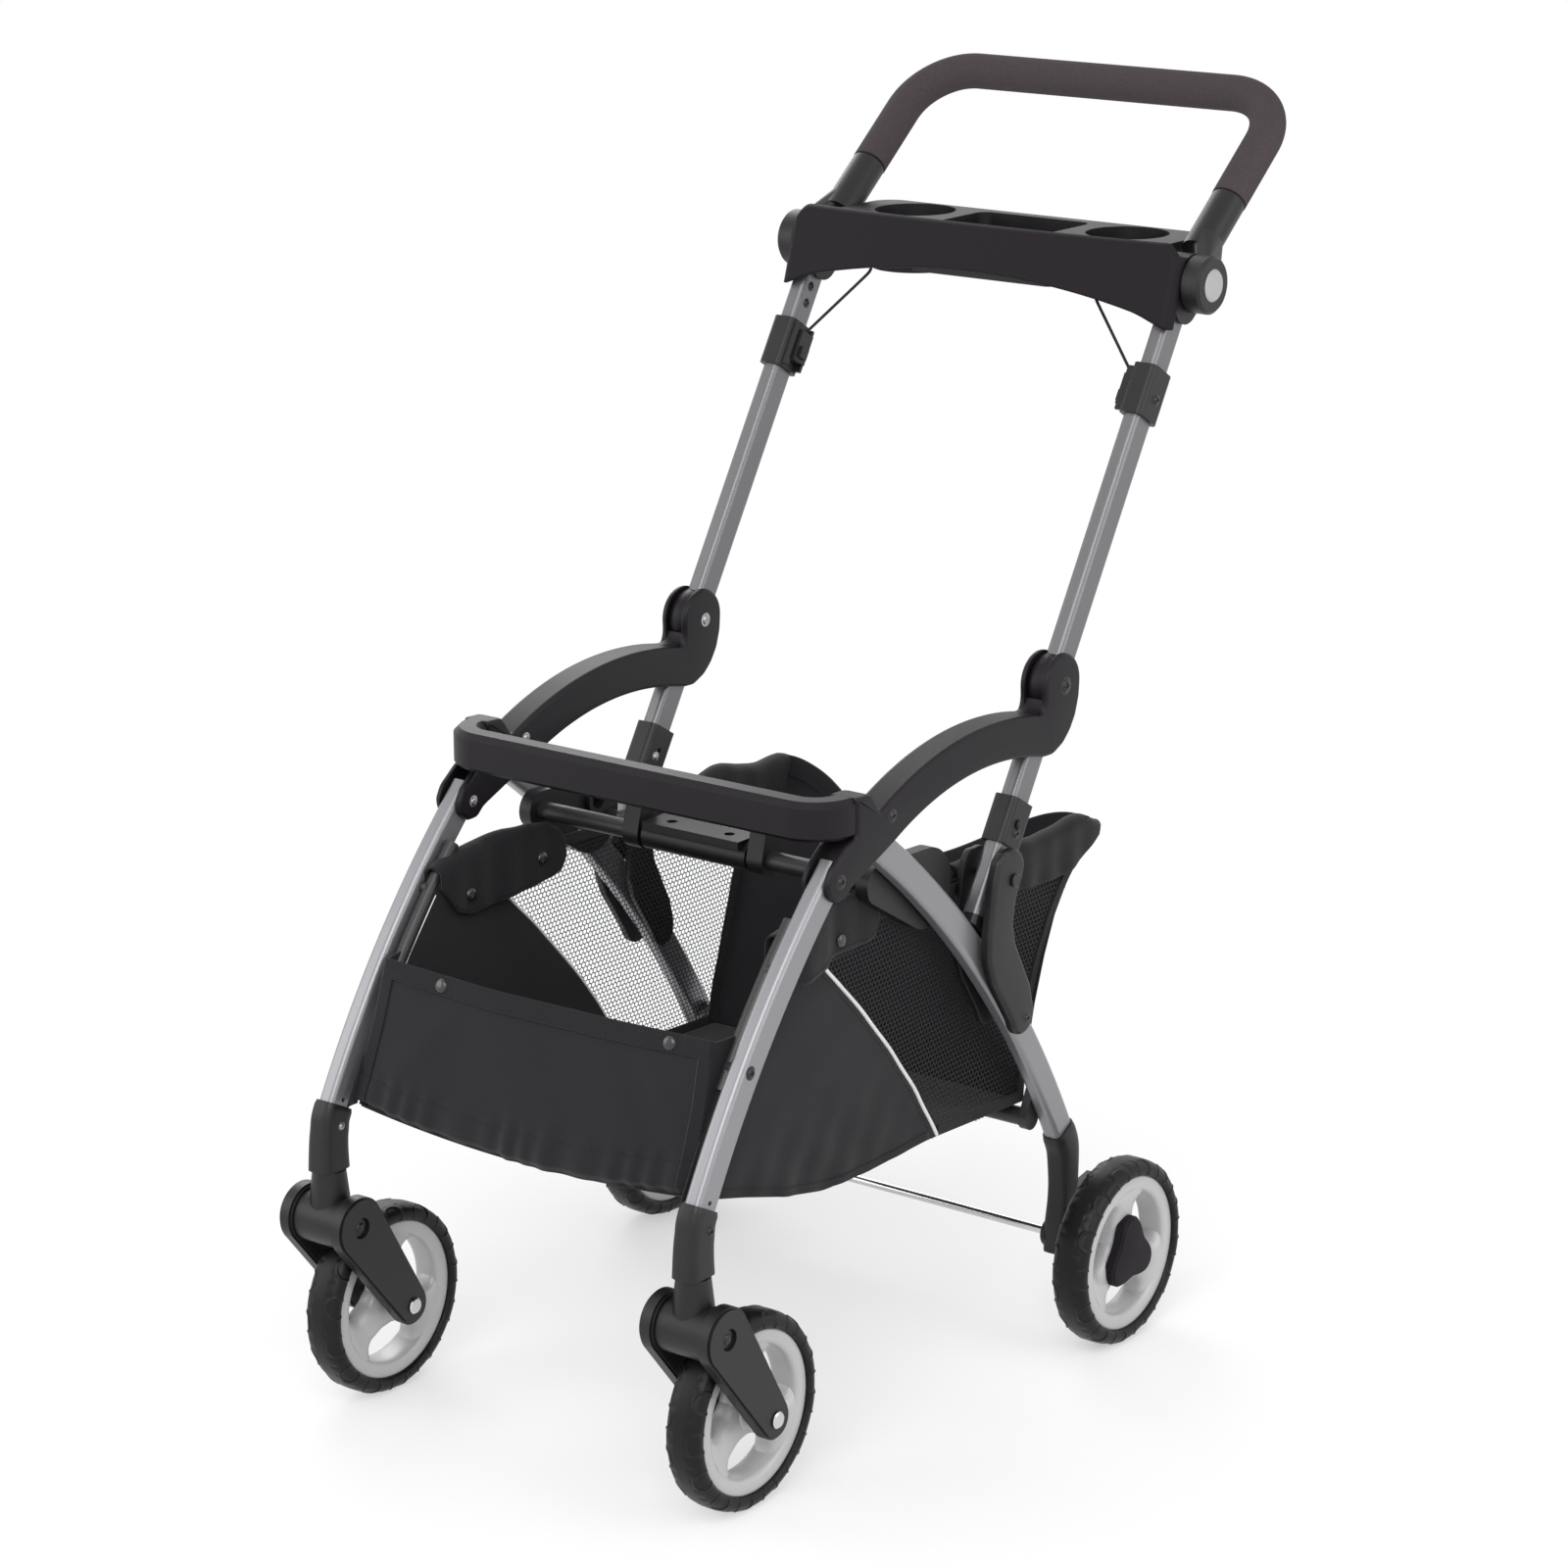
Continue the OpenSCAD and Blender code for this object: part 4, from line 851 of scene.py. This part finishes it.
class STROLLER_OT_basket_sides(bpy.types.Operator):
    """The basket's side walls.

    The cloth part is ruled between the front-and-bottom edge and the piping line. The net part is a field of six-sided
    rings over the rest. Both take their distance from the middle from wall_x, so they bow inward and fold alike. Bands
    folded over the top edges, with snaps, finish them
    """
    bl_idname = "stroller.basket_sides"
    bl_label = "Basket Sides"

    def execute(self, context):
        b = context.scene.stroller_basket
        half, sag = b.half_width / MM, b.sag / MM
        pipe = spread(PIPING, 140, 24)
        front = spread(FRONT_EDGE, 140, 6)
        for name, s in HANDS:
            t = np.linspace(0, 1, 60)[None, :, None]
            flat = front[:, None] * (1 - t) + pipe[:, None] * t
            pts = self.raise_wall(flat, s, half, sag)
            cloth = skin(f"basket_side_{name}", [pts], "basket_cloth", 1.2)
            outline = np.concatenate([pipe[::-1], spread(TOP_EDGE, 60, 2)[1:], spread(REAR_EDGE, 40, 3)[1:],
                                      spread(FLOOR_EDGE, 40, 1)[1:-1]])
            rings = self.net(outline, s, half, sag, b.net_pitch / MM, b.net_open)
            net = piece(f"basket_net_{name}", [rings], "net_yarn", closed=False)
            bands = []
            for edge, width in ((REAR_EDGE, 9), (FLOOR_EDGE, 9), (FRONT_EDGE[5:], -7), (TOP_EDGE[4:9], 9)):
                line = spread(edge, 80, 3)
                strip = line[:, None] - left_of(tangents(line))[:, None] * np.linspace(0, width, 6)[None, :, None]
                bands.append(self.raise_wall(strip, s, half + 0.5, sag))
            flap = self.front_flap(s)
            band = skin(f"basket_band_{name}", bands + [flap, self.rear_flap(s)], "hem_cloth", 1.8)
            path = self.raise_wall(pipe, s, half + 0.9, sag)
            cord = carried(path, ring(b.piping_radius / MM, 10), (1, 0, 0))
            trim = piece(f"basket_piping_{name}", [tube(cord)], "piping_pale")
            seam = self.raise_wall(spread(PIPING, 200, 24) + [-5, -3], s, half + 1.1, sag)
            rows = [stitches(seam, (s, 0, 0)), stitches(flap[:, 1] + [-1.3 * s, 0, 0], (-s, 0, 0)),
                    stitches(flap[:, -2] + [1.3 * s, 0, 0], (s, 0, 0))]
            sewing = piece(f"basket_side_sewing_{name}", rows, "thread_dark")
            heads = [dome(flap[k, row] + [out * s * 1.2, 0, 0], (out * s, 0, 0.1), 6.0, 2.6, 28, 9)
                     for k, row, out in ((19, 4, -1), (66, 5, -1), (52, -4, 1))]
            snaps = piece(f"basket_side_snaps_{name}", heads, "snap_black")
            for obj in (cloth, net, band, trim, sewing, snaps):
                cloth_blend(obj)
        return {"FINISHED"}

    @staticmethod
    def front_flap(s):
        """The flap over the stay's end and the top edge behind it."""
        y = np.linspace(-303 if s < 0 else -290, -147, 84)
        top = np.interp(y, [-312, -290, -255, -220, -190, -165, -154, -147], [446, 453, 459, 462, 461, 455, 449, 440])
        low = np.interp(y, [-312, -299, -285, -268, -243, -202, -165, -154, -147],
                        [441, 427, 408, 401, 403, 406, 409, 413, 424])
        back = step(y, -250, -205)
        x_in, x_out = 162.5 - 3 * back, 181.4 - 12 * back
        hang = np.interp(y, [-312, -290, -200, -147], [2, 6, 9, 4])
        return folded_band(y, top, low, low + hang, x_in, x_out, s, 1.1 * (1 - 0.5 * back)[:, None])

    @staticmethod
    def rear_flap(s):
        """The flap over the rail behind the post, gathered to a low hump, higher on one side."""
        y = np.linspace(-34, 183, 90)
        top = np.interp(y, [-34, 32, 85, 123, 152, 166, 176, 183], [446, 443.5, 441, 439.5, 446, 443, 436, 432])
        top = np.convolve(np.pad(top, 4, mode="edge"), np.ones(9) / 9, "valid")
        top = top + (12 * np.exp(-((y - 72) / 40) ** 2) if s < 0 else 0)
        low = np.interp(y, [-34, -10, 34, 90, 130, 156, 172, 183], [428, 416, 405, 400, 399, 408, 417, 422])
        x_in, x_out = 151.0 + 0 * y, 169.4 + 0 * y
        return folded_band(y, top, low, low, x_in, x_out, s, 1.0)

    @staticmethod
    def raise_wall(flat, s, half, sag):
        """Side-view points lifted onto the wall on side s."""
        y, z = flat[..., 0], flat[..., 1]
        return xyz(s * wall_x(y, z, half, sag), y, z)

    @classmethod
    def net(cls, outline, s, half, sag, pitch, hole):
        """Six-sided rings at the points of a staggered grid that lie inside the outline."""
        lo, hi = outline.min(0), outline.max(0)
        row = pitch * math.sqrt(3) / 2
        j = np.arange(int((hi[1] - lo[1]) / row) + 1)
        i = np.arange(int((hi[0] - lo[0]) / pitch) + 1)
        gy, gz = np.meshgrid(i, j, indexing="ij")
        y = (lo[0] + (gy + 0.5 * (gz % 2)) * pitch).ravel()
        z = (lo[1] + gz * row).ravel()
        keep = inside(outline, y, z)
        centre = np.stack([y[keep], z[keep]], 1)
        a = (np.arange(6) + 0.5) * TAU / 6
        cell = np.stack([np.cos(a), np.sin(a)], 1) * pitch / math.sqrt(3)
        both = np.concatenate([cell * 1.001, cell * hole])
        flat = centre[:, None] + both[None]
        k = np.arange(6)
        quad = np.stack([k, (k + 1) % 6, (k + 1) % 6 + 6, k + 6], 1)
        faces = (np.arange(len(centre))[:, None, None] * 12 + quad).reshape(-1, 4).tolist()
        return cls.raise_wall(flat, s, half, sag).reshape(-1, 3), faces, flat.reshape(-1, 2) * MM


class STROLLER_OT_basket_floor(bpy.types.Operator):
    """The basket's floor and rear wall.

    The floor is a chain of side-view points carried across the width, lowered in the middle by a sag that grows with
    the distance from the walls. The rear wall is a grid across and up: its top edge hangs in a curve between the rails
    and its face bows back. A hem follows that edge
    """
    bl_idname = "stroller.basket_floor"
    bl_label = "Basket Floor"

    def execute(self, context):
        half = context.scene.stroller_basket.half_width / MM
        chain = np.array([[-403, 271], [-384, 262], [-326, 246], [-274, 230], [-221, 218.5], [-156, 215.5], [-74, 217],
                          [0, 213], [49, 210], [70, 209]], float)
        line = spread(chain, 150, 4)
        a = np.linspace(-1, 1, 101)
        y, z = line[:, :1], line[:, 1:]
        bow = (1 - a ** 2)[None]
        soft = 0.9 * np.sin(0.05 * y + 7 * a) + 0.7 * np.sin(0.09 * y - 11 * a + 1)
        sag = (9 * bow + soft * bow) * step(y, -396, -330) * step(y, 66, 10)
        pts = xyz(a * (half - 0.6), y - 3 * bow * step(y, -360, -402), z - sag - 9 * bow * step(y, -370, -402))
        rear = self.rear_wall(a[None], np.linspace(0, 1, 70)[:, None], half)
        cloth = skin("basket_floor_cloth", [pts, rear], "basket_cloth", 1.4)
        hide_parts("basket_tub")
        lift = np.array([0, 0.94, -0.3])
        edge = self.rear_wall(a[None], np.linspace(0.93, 1.005, 8)[:, None], half)
        hem = skin("basket_rear_hem", [edge + lift, edge - lift], "hem_cloth", 1.4)
        rows = [stitches(self.rear_wall(a, 0.94, half) + lift * w, lift * np.sign(w)) for w in (1.8, -1.8)]
        sewing = piece("basket_rear_sewing", rows, "thread_dark")
        for obj in (cloth, hem, sewing):
            cloth_blend(obj)
        return {"FINISHED"}

    @staticmethod
    def rear_wall(a, t, half):
        """Points of the rear wall at a across (-1 to 1) and t up (0 to 1)."""
        a, t = np.broadcast_arrays(np.asarray(a, float), np.asarray(t, float))
        top = 383 + 58 * step(np.abs(a), 0.0, 0.92)
        z = 209 + (top - 209) * t
        y = np.interp(z, [209, 250, 293, 333, 366, 392, 414, 442], [70, 75, 86, 100, 115, 134, 154, 166])
        bow = 7 * (1 - a ** 2) * np.sin(math.pi * np.clip(t, 0, 1) * 0.8)
        fold = (0.9 * np.sin(12 * a + 3 * t) + 0.6 * np.sin(23 * a - 2 * t)) * (1 - a ** 2) * t
        return xyz(a * (half - 0.6), y + bow + fold, z)


# ---- stage

class STROLLER_OT_stage(bpy.types.Operator):
    """Pale floor that turns plain white away from the object, soft lamps, world light and the camera"""
    bl_idname = "stroller.stage"
    bl_label = "Studio"

    def execute(self, context):
        scene = context.scene
        scene.view_settings.view_transform = "Standard"
        cam = bpy.data.cameras.new("photo_camera")
        cam.lens, cam.sensor_width, cam.clip_end = 98.73, 36.0, 100
        scene.camera = shown("photo_camera", cam)
        scene.camera.location = (2.0920, -2.8468, 1.5064)
        scene.camera.rotation_euler = (math.radians(90 - 16.195), 0, math.radians(36.787))
        mesh = bpy.data.meshes.new("studio_floor")
        mesh.from_pydata([(-40, -40, 0), (40, -40, 0), (40, 40, 0), (-40, 40, 0)], [], [(0, 1, 2, 3)])
        mesh.materials.append(self.floor_finish())
        shown("studio_floor", mesh)
        self.world(scene)
        for name, place, aim, size, power in (
                ("key", (1.2, -2.6, 2.6), 0.5, 2.2, 62), ("fill", (3.0, 0.4, 1.6), 0.5, 2.4, 34),
                ("rim", (-2.4, 1.6, 2.2), 0.6, 2.0, 40), ("left", (-2.4, -2.2, 1.5), 0.5, 2.0, 26)):
            lamp = bpy.data.lights.new(name, "AREA")
            lamp.energy, lamp.size = power, size
            light = shown(name, lamp)
            light.location = place
            x, y, drop = place[0], place[1], place[2] - aim
            light.rotation_euler = (math.atan2(math.hypot(x, y), drop), 0, math.atan2(x, -y))
        return {"FINISHED"}

    @staticmethod
    def seen(tree):
        """1 for rays that show the background: from the camera, from gloss and through clear things."""
        ray = tree.nodes.new("ShaderNodeLightPath").outputs
        either = combine(tree, "MAXIMUM", ray["Is Camera Ray"], ray["Is Glossy Ray"])
        return combine(tree, "MAXIMUM", either, ray["Is Transmission Ray"])

    @staticmethod
    def mix(tree, share, lit, plain, output):
        """Sends a mix of a lit and a plain shader to the output."""
        mix = tree.nodes.new("ShaderNodeMixShader")
        for socket, end in zip((share, lit, plain), mix.inputs):
            tree.links.new(socket, end)
        tree.links.new(mix.outputs["Shader"], tree.nodes[output].inputs["Surface"])

    @classmethod
    def floor_finish(cls):
        """Lit pale floor near the object that fades to plain white by its distance from the middle."""
        mat = bpy.data.materials.new("studio_white")
        mat.use_nodes = True
        tree = mat.node_tree
        new, link = tree.nodes.new, tree.links.new
        bsdf = fill(tree.nodes["Principled BSDF"], Base_Color=(0.97, 0.97, 0.97, 1), Roughness=0.95,
                    Specular_IOR_Level=0.0)
        far = new("ShaderNodeVectorMath")
        far.operation = "LENGTH"
        link(new("ShaderNodeTexCoord").outputs["Object"], far.inputs[0])
        fade = fill(new("ShaderNodeMapRange"), From_Min=0.25, From_Max=0.9, To_Min=0.45)
        fade.interpolation_type = "SMOOTHSTEP"
        link(far.outputs["Value"], fade.inputs["Value"])
        share = combine(tree, "MULTIPLY", fade.outputs["Result"], cls.seen(tree))
        glow = new("ShaderNodeEmission")
        cls.mix(tree, share, bsdf.outputs["BSDF"], glow.outputs["Emission"], "Material Output")
        return mat

    @classmethod
    def world(cls, scene):
        """Even light on the object, plain white to the camera."""
        scene.world = bpy.data.worlds.new("studio")
        scene.world.use_nodes = True
        tree = scene.world.node_tree
        light = fill(tree.nodes["Background"], Color=(1, 1, 1, 1), Strength=0.6)
        white = fill(tree.nodes.new("ShaderNodeBackground"), Color=(1, 1, 1, 1))
        cls.mix(tree, cls.seen(tree), light.outputs["Background"], white.outputs["Background"], "World Output")


# ---- panel and running

class STROLLER_PT_panel(bpy.types.Panel):
    """Lists the stroller frame's steps"""
    bl_idname = "STROLLER_PT_panel"
    bl_label = "Stroller Frame"
    bl_space_type = "VIEW_3D"
    bl_region_type = "UI"
    bl_category = "Stroller Frame"

    def draw(self, context):
        for step_class in STEPS:
            self.layout.operator(step_class.bl_idname)
        for group in (context.scene.stroller_basket, context.scene.stroller_wheels, context.scene.stroller_colours):
            box = self.layout.box()
            for key in group.__annotations__:
                box.prop(group, key)


STEPS = (STROLLER_OT_stage, STROLLER_OT_finishes, STROLLER_OT_cords, STROLLER_OT_arms, STROLLER_OT_sockets,
         STROLLER_OT_braces, STROLLER_OT_apron, STROLLER_OT_screws, STROLLER_OT_tyres, STROLLER_OT_rims,
         STROLLER_OT_basket_front, STROLLER_OT_basket_sides, STROLLER_OT_basket_floor)
GROUPS = {"stroller_colours": FrameColours, "stroller_basket": BasketSizes, "stroller_wheels": WheelSizes}


def register():
    for c in (*GROUPS.values(), *STEPS, STROLLER_PT_panel):
        bpy.utils.register_class(c)
    for key, group in GROUPS.items():
        setattr(bpy.types.Scene, key, PointerProperty(type=group))


def unregister():
    for key in GROUPS:
        delattr(bpy.types.Scene, key)
    for c in reversed((*GROUPS.values(), *STEPS, STROLLER_PT_panel)):
        bpy.utils.unregister_class(c)


def main():
    register()
    for step_class in STEPS:
        group, name = step_class.bl_idname.split(".")
        getattr(getattr(bpy.ops, group), name)()


if __name__ == "__main__":
    main()
